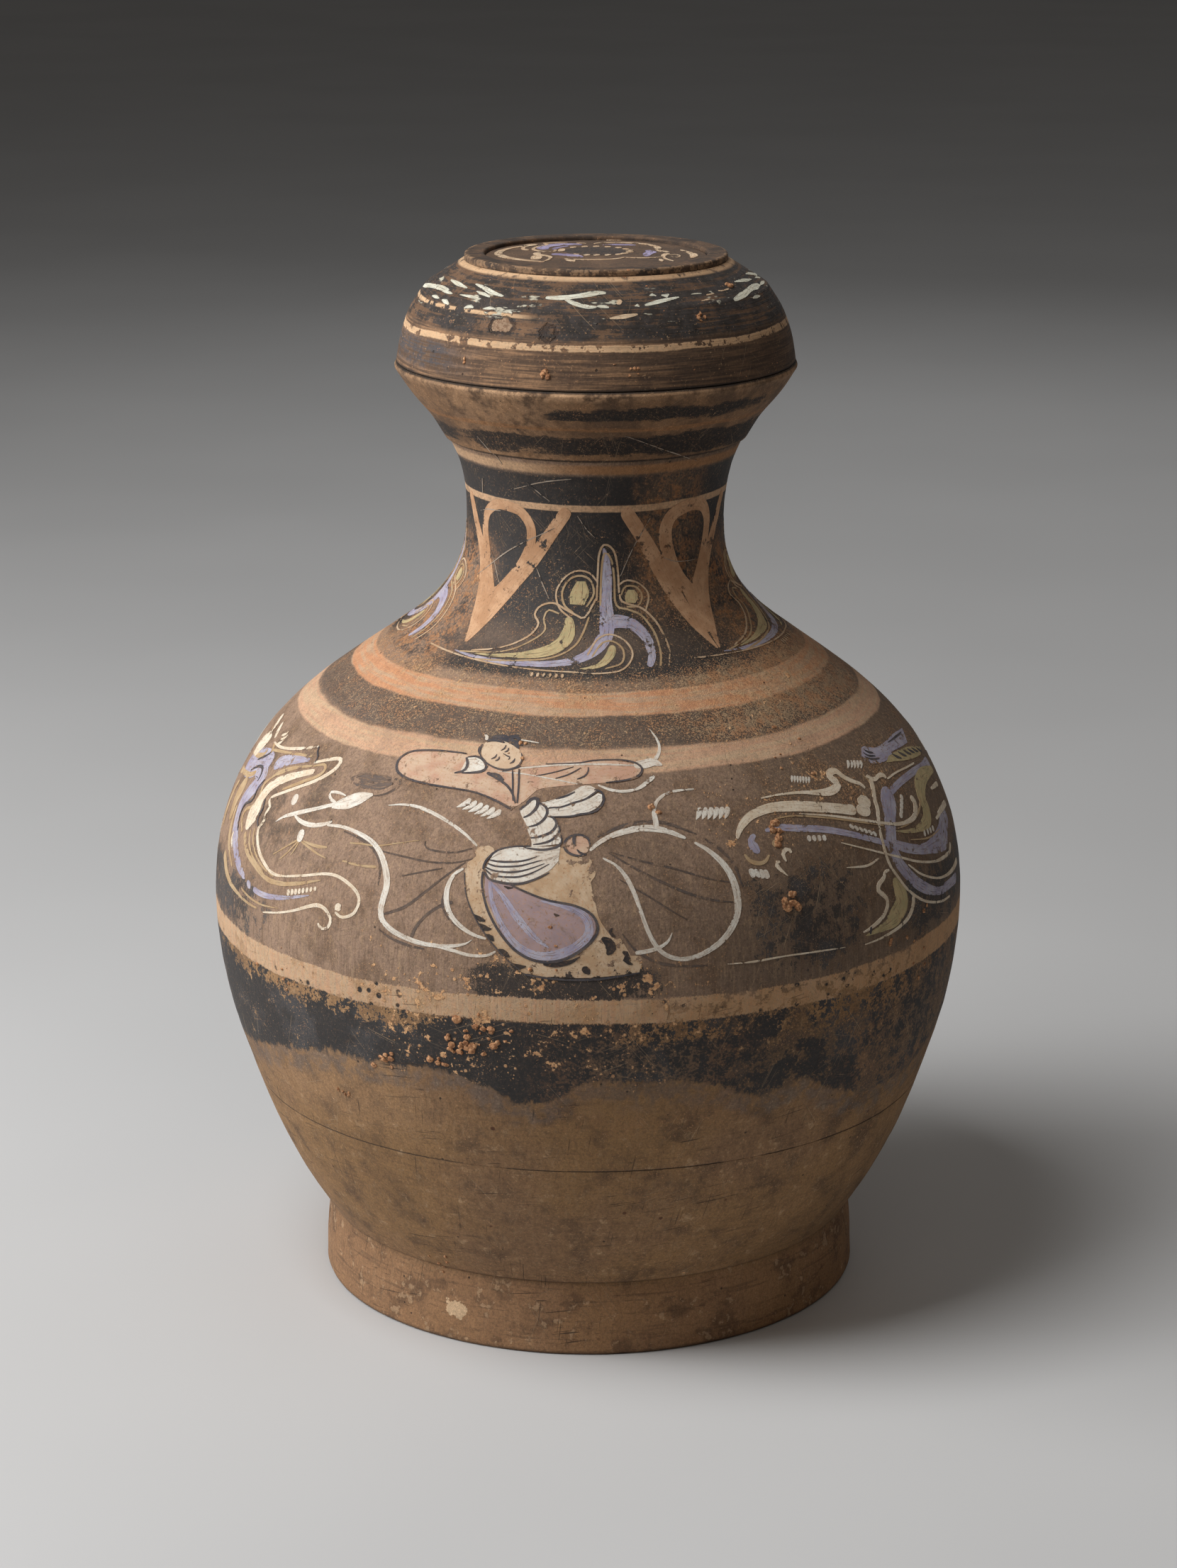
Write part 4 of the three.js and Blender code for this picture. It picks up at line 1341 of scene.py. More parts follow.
torso = [
    between([-10, 264.2, -11.5, 260.6, -10.9, 258, -10.3, 256, -9.7, 253, -9, 249.6, -8.9, 247.4],
            [-8.9, 264.4, -7.6, 262.4, -6.9, 260.5, -5.6, 258, -5, 256, -4.5, 253, -4.3, 249], lane=2.4),
    between([-8, 262, -6.7, 261.7, -4, 262.6, -1.9, 264.3, 0.1, 266, 1.2, 267.8],
            [-8, 263.6, -5.8, 264.8, -2.8, 267.7, -1.6, 269.3, 0, 269.7, 1.1, 268.8], lane=2.4),
    between([-6.7, 258.6, -5, 258.6, -3, 259.1, -1.1, 259.8, 0.3, 260.8, 1.7, 262.5, 2.3, 264.6],
            [-6.8, 261.3, -4.7, 262.1, -1.9, 263.9, 0.3, 265.5, 1.3, 266.8, 1.8, 267.2, 2.3, 266.6],
            lane=2.4),
    between([-15.7, 238, -14.9, 234.6, -13.6, 233.8, -12.1, 233.5, -10.3, 233.8, -8.4, 235.3, -6, 238.7,
             -4.6, 242.5],
            [-15.2, 241.8, -14.6, 244.4, -13.6, 246, -11.7, 247, -9.9, 247.2, -8.2, 247.6, -6.1, 247.8,
             -4.4, 247.8], lane=2.4),
]
film("dancer_white", cuffs + torso, WHITE, "white_paint", lift=0.26)

# %% Dancer: lines
outlines_dark = strokes([
    ([-24.4, 278, -29, 277.9, -33, 277.2, -36.4, 275.6, -37.8, 272.4, -36.8, 268.8, -34, 266.9, -30,
     266.2, -25, 266, -20, 265.4, -15.8, 263, -12.9, 260.5], (0.7, 0.9, 1.2, 0.8, 0.7, 0.9)),
    ([-24.1, 276.7, -23.3, 274.6, -23.5, 272.3, -25.2, 271.1], (1.1, 1.4, 1.3, 0.7)),
    ([-23.9, 276.8, -22.3, 277.4, -20.7, 276.7, -19.6, 274.9, -19.5, 273.5, -20.3, 272.5, -21.8, 271.9,
     -23.8, 271.4], (0.8, 1.2, 1.3, 0.6)),
    ([-8.3, 276.6, -5.4, 276.9, -1.8, 277.3, 0.2, 278, 3.6, 278.3, 6.8, 278, 9, 276.8, 9.9, 274.8, 8.8,
     272.4, 6, 271.2, 3, 270.7], (0.4, 0.6, 0.7, 1.1, 0.5)),
    ([-9.7, 272.5, -7.4, 273.5, -5.3, 274.6, -2.9, 276], (0.4, 0.5, 0.5, 0.3)),
    ([-6.1, 271.9, -4.1, 273.1, -2.4, 274.7, -1.6, 275.7], (0.4, 0.6, 0.6, 0.4)),
    ([-2.2, 271.8, -0.8, 272.9, -0.2, 274.5, -0.2, 275.9], (0.5, 0.7, 0.7, 0.5)),
    ([-19, 272.4, -17.6, 271.5, -15.2, 269.3, -14, 267.6, -13.1, 265.3, -12.5, 262.8], (1.7, 1.3, 1.1,
     1.1, 0.9, 0.8)),
    ([-18.3, 272.2, -16.9, 271.9, -15.5, 270.3], (1, 1.6, 1.2)),
    ([-14.3, 273.9, -13.7, 269.7, -13, 263.6], (0.8, 0.8, 0.7)),
    ([-13.1, 274.4, -12.5, 268.6, -12.2, 262.9], (0.9, 0.8, 0.8)),
    ([-16.2, 273.2, -14.6, 274.2, -12.9, 275.4], (0.6, 0.8, 0.8)),
    ([-11.6, 260.6, -10.7, 262.4, -9.9, 264.4, -9.4, 264.9, -8.7, 264.4, -8.7, 262, -9.2, 260.3, -9.9,
     258.8, -10.8, 257.9], (0.9, 1.5, 1.7, 1.3, 0.7)),
    ([-8.5, 263.3, -7.5, 262.5, -6.9, 260.9, -7, 258.8, -7.6, 256.9, -8.5, 255.5, -9.7, 254.7], (0.9, 1.3,
     1.2, 0.7)),
    ([-6.7, 258.7, -5.8, 258.3, -5.2, 256.4, -5.4, 254.7, -6.1, 252.9, -7.2, 251.8, -8.3, 251, -9.2,
     250.7], (0.8, 1.2, 1.2, 0.7)),
    ([-4.9, 255.6, -4.6, 253.9, -5, 252.1, -5.7, 250.4, -6.8, 249.2, -7.9, 248.6, -8.7, 248.3], (0.6, 1.1,
     1, 0.5)),
    ([-4.4, 252.2, -4.2, 250, -4.7, 248, -5.8, 247.1, -7.1, 246.5, -8.2, 246.6, -10, 247], (0.5, 1.1, 1,
     0.5)),
    ([-5.7, 264.9, -4, 266, -2.4, 267.5], (0.7, 1.1, 0.7)),
    ([-6.7, 261.8, -4.7, 262.1, -2.7, 263.6, -0.7, 264.9, 0.5, 266.5, 1.6, 268.1], (0.6, 0.9, 0.8)),
    ([0.9, 268.3, 2.1, 267.7, 2.6, 265.6, 2.4, 263.6, 1.3, 261.1, -0.1, 260.1, -1.5, 259.7, -3, 258.9,
     -6.5, 258.6], (0.8, 1, 0.9, 0.5)),
    ([-15.3, 241.6, -13.7, 241.2, -11.9, 241.4, -10, 242.1, -7.9, 243.9], (0.7, 0.8, 0.8, 0.7, 0.4)),
    ([-15.5, 240.2, -14.2, 239.4, -12.3, 239.5, -10.3, 240.2, -8.6, 241.5, -7.1, 242.7], (0.7, 0.8, 0.4)),
    ([-15.8, 238.8, -14.5, 237.7, -12.6, 237.4, -10.8, 237.8, -8.9, 239.2, -6.7, 241.4], (0.7, 0.8, 0.4)),
    ([-15.7, 237.9, -14.8, 236.2, -13.5, 235.6, -11.8, 235.6, -10.2, 236.1, -8.1, 238.2, -6, 241.3], (0.7,
     0.8, 0.4)),
    ([-16.1, 237.8, -16, 240.1, -15.5, 242.4, -14.5, 244.9, -13.2, 246.4, -11.4, 247.3, -9.1, 247.7], (1,
     0.8, 0.5)),
    ([-16, 237, -14.9, 234.3, -13.5, 233.5, -12.1, 233.1, -10.1, 233.4, -8.4, 234.9, -7, 236.5, -5.9,
     238.1], (0.9, 1.1, 1, 0.5)),
    ([-16.1, 237, -15.9, 231, -14.7, 222, -12.6, 213, -10, 205.6, -7, 202.2, -3.6, 203.2, -0.6, 208.4,
     1.3, 215, 0.6, 221.6, -2, 225.4, -6, 227.4, -9.6, 230.6, -12.2, 233.4], (0.9, 1.1, 1.3, 1, 0.8)),
    ([-18.9, 236, -18.3, 228, -16.6, 219, -14.2, 210, -11.6, 202.4, -9.6, 198], (0.4, 0.6, 0.5)),
    ([-9, 196.4, -5, 194.9, 0, 194.7, 4, 195.9, 7.2, 197.3], (0.8, 0.9, 0.9, 0.8, 0.5)),
    ([-0.3, 245.2, -1.6, 244.6, -3, 245.6, -3.8, 248, -3.4, 250.8, -2.2, 252.3, -0.9, 252.2, 0.1, 250.6,
     0.2, 248.4], (0.7, 1.2, 1, 0.8)),
    ([-2.2, 252, -2.3, 250.1, -2.1, 248.2], (1.5, 1.6, 1.2)),
    ([-1.8, 247, -1.4, 245.9, -0.9, 245.4, -0.3, 245.3], (0.7, 0.9, 0.9, 0.6)),
])
disc = [between([-3.6, 248, -3, 245.8, -1.6, 244.9, -0.2, 246, 0.1, 248],
                [-3.6, 249, -3, 251.4, -1.6, 252.2, -0.4, 251.2, 0.1, 249], lane=2)]
film("dancer_disc", disc, SLEEVE, "cream_paint", lift=0.16)
hair = [
    head_line([-10.2, 2.4, -8.2, 5.2, -4.4, 7, 0.4, 7.5, 4.4, 6.6], (1.4, 2.6, 3.2, 2.6, 1)),
    head_line([-10.4, 0.4, -9, 2.8, -6.4, 4.4, -3, 5], (1.2, 2.2, 2, 0.6)),
    head_line([-10.6, -1.4, -9.8, -4, -8, -5.8], (1.4, 1.6, 0.5)),
    head_line([-3.4, 7.4, -2.6, 9.4, -0.4, 10.6, 1.8, 9.8], (1.6, 2.2, 2.2, 0.8)),
    head_line([-0.6, 7.6, 1.8, 8.8, 4.6, 8.6], (1.6, 1.6, 0.6)),
    head_line([-9.9, -3, -7.6, -5.6, -4, -6.9, 0, -7.3, 4.6, -6.6, 8.6, -4.2, 10.4, -0.4, 9.4, 3.2,
               7, 5.4], (0.5, 0.7, 0.9, 0.5)),
]
# Chin at the right end: eyes half way down the face, nose at the next quarter, mouth between nose and chin
features = [
    head_line([0.4, 4.2, 1.2, 2.9, 0.5, 1.5], (0.4, 1, 0.4)),
    head_line([0.4, -1.5, 1.2, -2.9, 0.5, -4.2], (0.4, 1, 0.4)),
    head_line([-1.6, 4.6, -0.9, 2.9, -1.4, 1.2], (0.4, 0.8, 0.3)),
    head_line([-1.4, -1.2, -0.9, -2.9, -1.6, -4.6], (0.3, 0.8, 0.4)),
    head_line([0.6, 0.6, 3.2, 0.8, 4.5, 0.9, 4.7, -0.5], (0.3, 0.5, 0.6, 0.5)),
    head_line([6.6, 1.7, 7.2, 0, 6.6, -1.7], (0.3, 1, 0.3)),
]
film("dancer_lines", outlines_dark, DARK_LINE, "brush_line", lift=0.34)
film("dancer_hair_and_face_lines", hair + features, DARK_LINE, "brush_line", lift=0.36)
gold = [head_line([-10.8, 1, -12.6, 2.4, -14, 2.2], (1.4, 1.6, 0.5)),
        head_line([2, 10.4, 5.6, 12, 10, 13.8], (0.5, 0.7, 0.3))]
film("dancer_hair_ribbon", gold, WHITE, "white_paint", lift=0.38)
print("dancer painted")

# %% [markdown]
# ## Ribbons
#
# White ribbons fly from the dancer in long brush strokes that swell and thin, with faint dark strokes under
# and between them and rows of small commas and dots beside them. The hidden side carries one more pair of
# ribbons.

# %% Ribbons
ribbons_right = strokes([
    ([0.2, 246.6, 1.5, 249.3, 3.5, 251.8, 6, 253.6, 8.3, 254.4, 10.5, 254.1, 13, 252.6, 15.5, 249.8],
     (1.4, 2.6, 3, 1.4)),
    ([10.9, 254, 11, 256.5, 10.9, 259.5, 11.2, 262.3, 12.1, 264.6, 13.6, 266.2, 15.5, 266.9, 18.6, 267],
     (2.6, 1.6, 1.3, 0.7)),
    ([16.8, 248, 18.6, 245, 20.2, 241, 21.4, 236.5, 22.1, 231, 22.3, 225, 22, 219, 21, 213.5, 19.4, 208.5,
     17.3, 204.8, 15.2, 202.6, 13.2, 202.2, 11.3, 203.8, 9.9, 207.2, 8.9, 212, 8.1, 218, 7.4, 224.5, 6.6,
     231, 5.5, 237, 4.1, 241, 2.2, 243.8], (1.2, 2.6, 3.2, 2.8, 2.2, 1.8, 1.9, 1.6, 1.9, 0.8)),
    ([6.6, 205.8, 8.5, 206.4, 10.2, 207.8, 11.4, 210.3, 12, 213.6], (1.8, 1.7, 1.6, 1.2, 0.3)),
])
ribbons_left = strokes([
    ([-35.2, 256.5, -33, 257.6, -30.5, 258, -28, 257.3, -25, 255.5, -22.5, 253.3, -20, 250.4, -17.6,
     246.4], (0.4, 1.6, 1.5, 1)),
    ([-46, 244, -42.5, 245, -39, 244.2, -36, 242.3, -33.8, 238.8, -32.2, 233.5, -31.3, 227, -31.5, 221,
     -31.6, 216, -31, 212, -29.3, 208.8, -27, 206.7, -24.5, 205.4, -21.8, 205.2, -19.5, 204, -17, 202.8,
     -14.6, 203.3, -13.2, 205.4], (1.2, 1.6, 2.2, 3.2, 2.8, 2.2, 1.8, 1.4, 1)),
    ([-21.8, 205.2, -19.6, 206, -17.8, 207.4, -16.8, 209.4], (1.7, 1.5, 1.1, 0.3)),
    ([-19.2, 237.5, -20.6, 234.5, -21.3, 229, -21.1, 223.5, -20.2, 218.5, -18.6, 214.5, -16.7, 211.7,
     -14.7, 210.3], (1, 2.5, 2, 1)),
])


def commas(x, y, count, step, drop, length=4.6, lean_left=1.4, width=2.7):
    """A row of short slanted strokes, each a comma."""
    widths = [width * share for share in (0.8, 1, 0.65, 0.15)]
    row = []
    for k in range(count):
        left, top = x + step * k, y - drop * k
        row.append(stroke([(left + 0.3, top), (left, top - length * 0.4),
                           (left - lean_left * 0.6, top - length * 0.8),
                           (left - lean_left, top - length)], widths))
    return row


comma_rows = commas(-20.9, 263.2, 6, 1.14, 0.58, length=3.6, lean_left=1.7)
comma_rows += commas(18.6, 260.4, 6, 0.98, 0.15, length=4.2, lean_left=0.8)
comma_rows += commas(53.4, 265.9, 5, 0.85, 0.44, length=2.6, lean_left=1, width=1.7)
comma_rows += commas(38.3, 266.4, 7, 0.58, 0.3, length=2.2, lean_left=0.4, width=1.4)
# Each row of dots: its first place, the step to the next, their number, and the length, width and turn of one
DOT_ROWS = (
    (25.3, 233.9, 0.77, -0.42, 4, 4.2, 2.6, -15), (36.8, 243.1, 1.0, -0.4, 4, 2.8, 2.1, 10),
    (46.3, 243.1, 0.92, -1.12, 6, 2.9, 1.8, -35), (62.6, 245.5, -0.68, -1.45, 5, 3, 2.2, 40),
    (65.3, 227.9, 1.3, -0.27, 4, 2.8, 2, 20),
)
dots = [dab(x + east * k, y + up * k, length, width, turn)
        for x, y, east, up, count, length, width, turn in DOT_ROWS for k in range(count)]
ribbon_end = strokes([
    between([-46.6, 250.4, -43.6, 251.4, -41.2, 254.2, -39.1, 258.6], [-46.4, 252.6, -44.4, 256.2, -42,
            258.8, -39.3, 259.4], lane=2),
    ([-59, 237.6, -57.4, 240.6, -54.8, 243.6, -51, 247.4, -48, 250.4, -46.3, 252], (0.5, 1.6, 2.2, 1.9,
     1.8, 1.8)),
    ([-46.2, 252.6, -47.8, 253.6, -48.6, 255.6, -46.8, 256.5, -44.7, 256.2], (1.8, 1.4, 1.3, 1.3, 0.6)),
    ([-55, 243.4, -52.4, 241.9, -49.6, 242, -47, 243.6, -45.2, 245.8], (0.8, 1.9, 2.2, 2, 1)),
    dab(-56.5, 248.4, 5.4, 4.4, -10),
    dab(-51, 236.7, 5.8, 4.2, 0),
])
RIBBON_AGAIN = 92
back_ribbons = shifted(ribbons_right, RIBBON_AGAIN) + shifted(ribbons_left, 288)
all_ribbons = ribbons_right + ribbons_left + ribbon_end + comma_rows + dots + back_ribbons
film("ribbons", all_ribbons, WHITE, "white_paint", lift=0.18)

shadows = strokes([
    ([1.4, 251.6, 4.8, 255, 8.6, 256.6, 12.6, 255.8, 17.4, 251], (0.8, 1.6, 1.6, 1.4, 0.6)),
    ([18.6, 249, 20.8, 244.4, 22.6, 238, 23.4, 229], (1, 1.4, 1.4, 0.6)),
    ([3.4, 246, 8, 242.4, 13, 238.8, 18, 234, 21.4, 231.6], (0.4, 0.9, 0.9, 0.8, 0.4)),
    ([3, 246, 6.4, 240.6, 10.6, 234.4, 15, 228.6, 18.6, 225.2, 21.6, 223.6], (0.4, 1, 1.1, 1.2, 1.2,
     0.5)),
    ([4.6, 235.6, 8.6, 229, 12, 222.6, 14.8, 217.4], (0.4, 0.7, 0.7, 0.4)),
    ([4.8, 214, 6.8, 206.6, 9.8, 201.4, 13.2, 199.2, 17, 198.4], (0.5, 1.1, 1.3, 1.1, 0.5)),
    ([-42, 243.6, -38.4, 242.4, -35.2, 239.6, -33.2, 234, -32.8, 226], (0.6, 1.2, 1.6, 1.4, 0.6)),
    ([-35.4, 239.7, -30, 239, -25, 238.4, -21, 239.2, -17.8, 241.6], (0.5, 0.8, 0.8, 0.8, 0.5)),
    ([-31, 215, -27.6, 219.6, -24.6, 227, -21.8, 234, -19, 240], (1.1, 1.4, 1.1, 0.9, 0.6)),
    ([-26.2, 207.2, -25.6, 211.6, -24.2, 217, -22.2, 221.6, -20.2, 224], (1.7, 1.4, 1.2, 1.4, 1.6)),
    ([-29, 231.4, -26, 234, -22.6, 236.6], (0.5, 0.8, 0.5)),
    ([-26.4, 246, -26, 243.6, -23.6, 242.8, -20.6, 243.4, -18.4, 245.4], (0.6, 0.9, 0.9, 0.8, 0.6)),
    ([-31.6, 208.4, -29.4, 205.4, -26.4, 203.6, -24, 203.2], (0.6, 1.2, 1.3, 0.6)),
    ([-21.6, 229, -21.8, 223, -20.6, 217.4, -18.6, 213.4], (0.5, 1, 1, 0.5)),
    ([-37.8, 265, -35.6, 266, -34.8, 264.6, -35.6, 262, -37.4, 259.6, -39.6, 258.4], (0.8, 1.2, 1.4, 1.2,
     0.8, 0.5)),
])
cap_shape = [between([-46, 262.4, -44, 260.6, -41, 260.4, -38, 261.4, -36.2, 264],
                     [-45.6, 263.4, -43.6, 265.4, -41, 266, -38.6, 266.4, -36.4, 266], lane=2.4)]
all_shadows = shadows + cap_shape + shifted(shadows[:6], RIBBON_AGAIN)
film("faint_brush_lines", all_shadows, SHADOW_LINE, "brush_line", lift=0.1)
print("ribbons painted")

# %% [markdown]
# ## The left cloud dragon
#
# The long body at the left is a set of nested bands: a violet one outside, cream and tan ones inside it,
# and white lines that end in hooks with a ball.

# %% Left motif
left_lavender = strokes([
    ([-85, 245.5, -80.5, 248.4, -77, 251, -73.8, 253.4, -71.4, 256], (10, 15, 16, 14, 7)),
    ([-69.5, 255, -66.2, 259, -62.5, 261.8, -59.2, 263], (7, 6.8, 5.4, 2)),
    ([-73, 251.5, -71.8, 246.4, -73.8, 238.2, -74.4, 232, -73, 225, -70, 218, -66.8, 212.4, -63.6, 209],
     (15, 10, 9.6, 7.4, 6.8, 6, 5, 2.2)),
    ([-62.6, 208.6, -62, 207.8, -61.2, 206.8], (2.6, 3.4, 2.8)),
    ([-60.2, 207, -57, 207, -53, 208.8, -49, 211.8, -45.6, 214.8], (2.6, 2.6, 2.2, 1.6, 0.5)),
])
left_pale = strokes([
    ([-55.6, 260.4, -60.4, 256, -65.2, 249.6, -67, 243, -67.2, 237, -67.6, 233.5, -68, 227.6], (3, 3.3, 4,
     4.8, 6, 7, 11.5, 4)),
    ([-86, 252, -83, 255.7, -80.4, 259.6], (11, 14, 5)),
    ([-76.8, 260.3, -74.4, 260.5, -71, 261.4, -66, 264, -61.2, 267.2, -59.6, 268.4], (0.9, 1.4, 1.4, 1.7,
     1.6, 1.1)),
    ([-57.5, 263, -54.3, 265.7, -51.6, 267.4, -50.6, 266, -51.3, 262.4, -53.9, 257.5, -58.2, 252, -62.7,
     246.3, -63.9, 244.3], (1.3, 2.3, 1.6, 1.4)),
    ([-63.9, 244.3, -63.6, 242.6, -62.7, 241.6, -63, 238, -62.6, 235.4, -63.4, 231.5, -62.6, 227.6, -60.4,
     222.8, -57.1, 218.9, -54.6, 217.8, -51.9, 218.9], (1.6, 2.1, 2, 1.6, 1)),
    ([-51.9, 218.9, -47.4, 222.2, -43.6, 225.2, -41, 226, -38.6, 224.6, -36.4, 221.6, -35.6, 217.8, -36.4,
     212.4, -38.4, 209.8, -39.8, 211.2], (1, 1.2, 1.6, 1.2)),
    ([-39.8, 214.6, -39.3, 213.3, -39.1, 212], (3, 4.2, 2.8)),
    ([-56.4, 199.6, -52, 202.8, -48.4, 206.4, -45, 210.6, -43.2, 212, -41.6, 210.9, -40.5, 207.6, -41,
     203.6, -42.2, 202.7, -43, 204.4], (0.8, 1, 1.8, 1.3)),
    ([-73, 223, -73, 219.7, -71.7, 216.3], (1.2, 2.4, 1.1)),
    ([-82.8, 260.5, -84.6, 263.2, -86.9, 266.6], (2.4, 3.4, 3)),
    ([-78.3, 261.2, -80.2, 263.6, -81.8, 266], (1.8, 3, 2)),
    ([-75, 262.7, -73.7, 264.1, -73.5, 265.5], (1.1, 1.9, 1)),
    ([-76.2, 263.7, -74.7, 265.1, -74.6, 266.4], (1.1, 1.9, 1)),
    ([-74.9, 260.8, -73.6, 262.3, -73.5, 263.3], (1.1, 1.9, 1)),
]) + [dab(-50.3 + 0.82 * k, 212.9 + 0.77 * k, 2.9 - 0.12 * k, 2.3 - 0.1 * k, 0) for k in range(8)]
left_ochre = strokes([
    ([-67.9, 226.4, -65, 220.4, -61, 217, -57.6, 214.8, -55, 214.4, -51.5, 215.8, -47.8, 218.7, -43.8,
     222.4], (3.4, 2.6, 2.2, 2.2, 2.2, 2, 1.6, 0.6)),
    ([-86, 249.7, -81, 251.6, -77.6, 254, -77.2, 256.6], (1.6, 1.8, 3, 2.6)),
    ([-74.6, 258.3, -70.8, 260, -66.4, 261.8, -62.6, 263.4, -59.8, 264.4, -59.4, 265.8], 1.5),
    ([-74.3, 257, -75.3, 258.7, -76.5, 260.5], 2),
    ([-88, 240, -82.2, 242.6, -78.3, 244.5, -75.4, 247.6], (4, 2.5, 2.8, 2.6)),
    ([-78, 243, -78.8, 237, -78.9, 232.5, -77.9, 224], (7, 11, 8, 4.8)),
    ([-57, 261.8, -55.5, 263.1, -54.2, 263.8, -53.3, 262.2, -54, 259.5, -57.1, 255.4, -61.7, 249.4], (1,
     1.4, 1.8, 1.8, 1.6, 1)),
    ([-67.6, 250.5, -66.3, 253.2, -63.3, 257, -59.8, 260, -57.2, 261.8], (1.5, 2.7, 2.4, 1.6, 1)),
    ([-67.6, 250.5, -68.8, 247, -68.3, 242.5, -68.9, 237.4, -71.2, 234, -71.2, 229.5, -69.2, 225.7], 1.8),
    ([-64.8, 230.7, -64, 226, -61.5, 221.4, -58, 218, -54.8, 216.8], (1.3, 1.2, 1, 0.8)),
    ([-66.1, 229, -65.2, 224.6, -62.5, 219.9, -58, 216.3], (1.3, 1.2, 0.9)),
    ([-83.4, 238, -84.4, 231, -84.3, 224, -83, 217], (4, 6, 6, 3)),
    ([-76.7, 231.8, -76, 224.5, -74.3, 218, -72, 213, -69.8, 209.4], (2.5, 3.6, 3.6, 2.3, 1.3)),
    ([-75.6, 211, -74.4, 209, -72.6, 205.4, -69.4, 202, -65, 200.4, -61.5, 199.6, -58.4, 199.8], (5, 4, 3,
     2, 1.5, 1.1, 0.9)),
    ([-64.5, 204, -61, 202.5, -57, 202.5, -52.4, 204.4], (0.9, 1, 0.8, 0.4)),
    ([-50, 235.2, -48.1, 235, -46.2, 235.1, -44.3, 235.8], (0.6, 1.2, 1.5, 1.1)),
    ([-50.4, 234.7, -48.2, 233.6, -46.2, 232.4, -43.8, 231.5], (0.8, 1.1, 0.9, 0.4)),
    ([-51.2, 235, -54, 229.8, -56.5, 225.2], (1, 0.8, 0.5)),
    ([-51.1, 234.5, -52.7, 229, -54.4, 224.5], (1, 0.8, 0.6)),
    ([-50.9, 234.4, -51.3, 231.1, -51.9, 228], (1, 0.8, 0.5)),
    ([-40.4, 232.4, -37, 232.2, -33.8, 233], (1, 1, 1.3)),
    ([-40, 239.8, -37.6, 240.6, -34.8, 241, -31, 243.6, -27.4, 246], (0.8, 0.8, 0.6, 0.5, 0.3)),
])
left_lines = strokes([
    ([-79, 246, -76.4, 249.6, -73.8, 251, -72.4, 249, -72.2, 246], (0.8, 1.4, 1.6, 1.4, 0.8)),
    ([-59.6, 268.4, -58.6, 266.4, -57.6, 265.4, -57.2, 263], 0.8),
    ([-69.6, 248.6, -70.4, 244, -70.2, 239, -72.6, 235.4, -72.8, 230, -71.4, 224.4], (0.8, 1.2, 1.2,
     0.9)),
    ([-65.6, 243, -64.8, 239, -65, 235, -63.8, 232], (1, 1.6, 1.6, 1)),
    ([-78.8, 251, -75.4, 255.4, -74.6, 257.4], (0.8, 1.4, 0.8)),
])
LEFT = (
    ("left_cloud_lavender", left_lavender, LAVENDER, "lavender_paint", 0.12),
    ("left_cloud_ochre", left_ochre, OCHRE, "cream_paint", 0.16),
    ("left_cloud_pale", left_pale, PALE, "cream_paint", 0.2),
    ("left_cloud_lines", left_lines, DARK_LINE, "brush_line", 0.28),
)

# %% [markdown]
# ## The right cloud dragon
#
# The one at the right is drawn with broader curves: pale bands for the head and neck, violet streams behind
# them, olive wings, and a few feathers in dark lines at its top. Strokes do for the streams, and `between`
# for the wings.

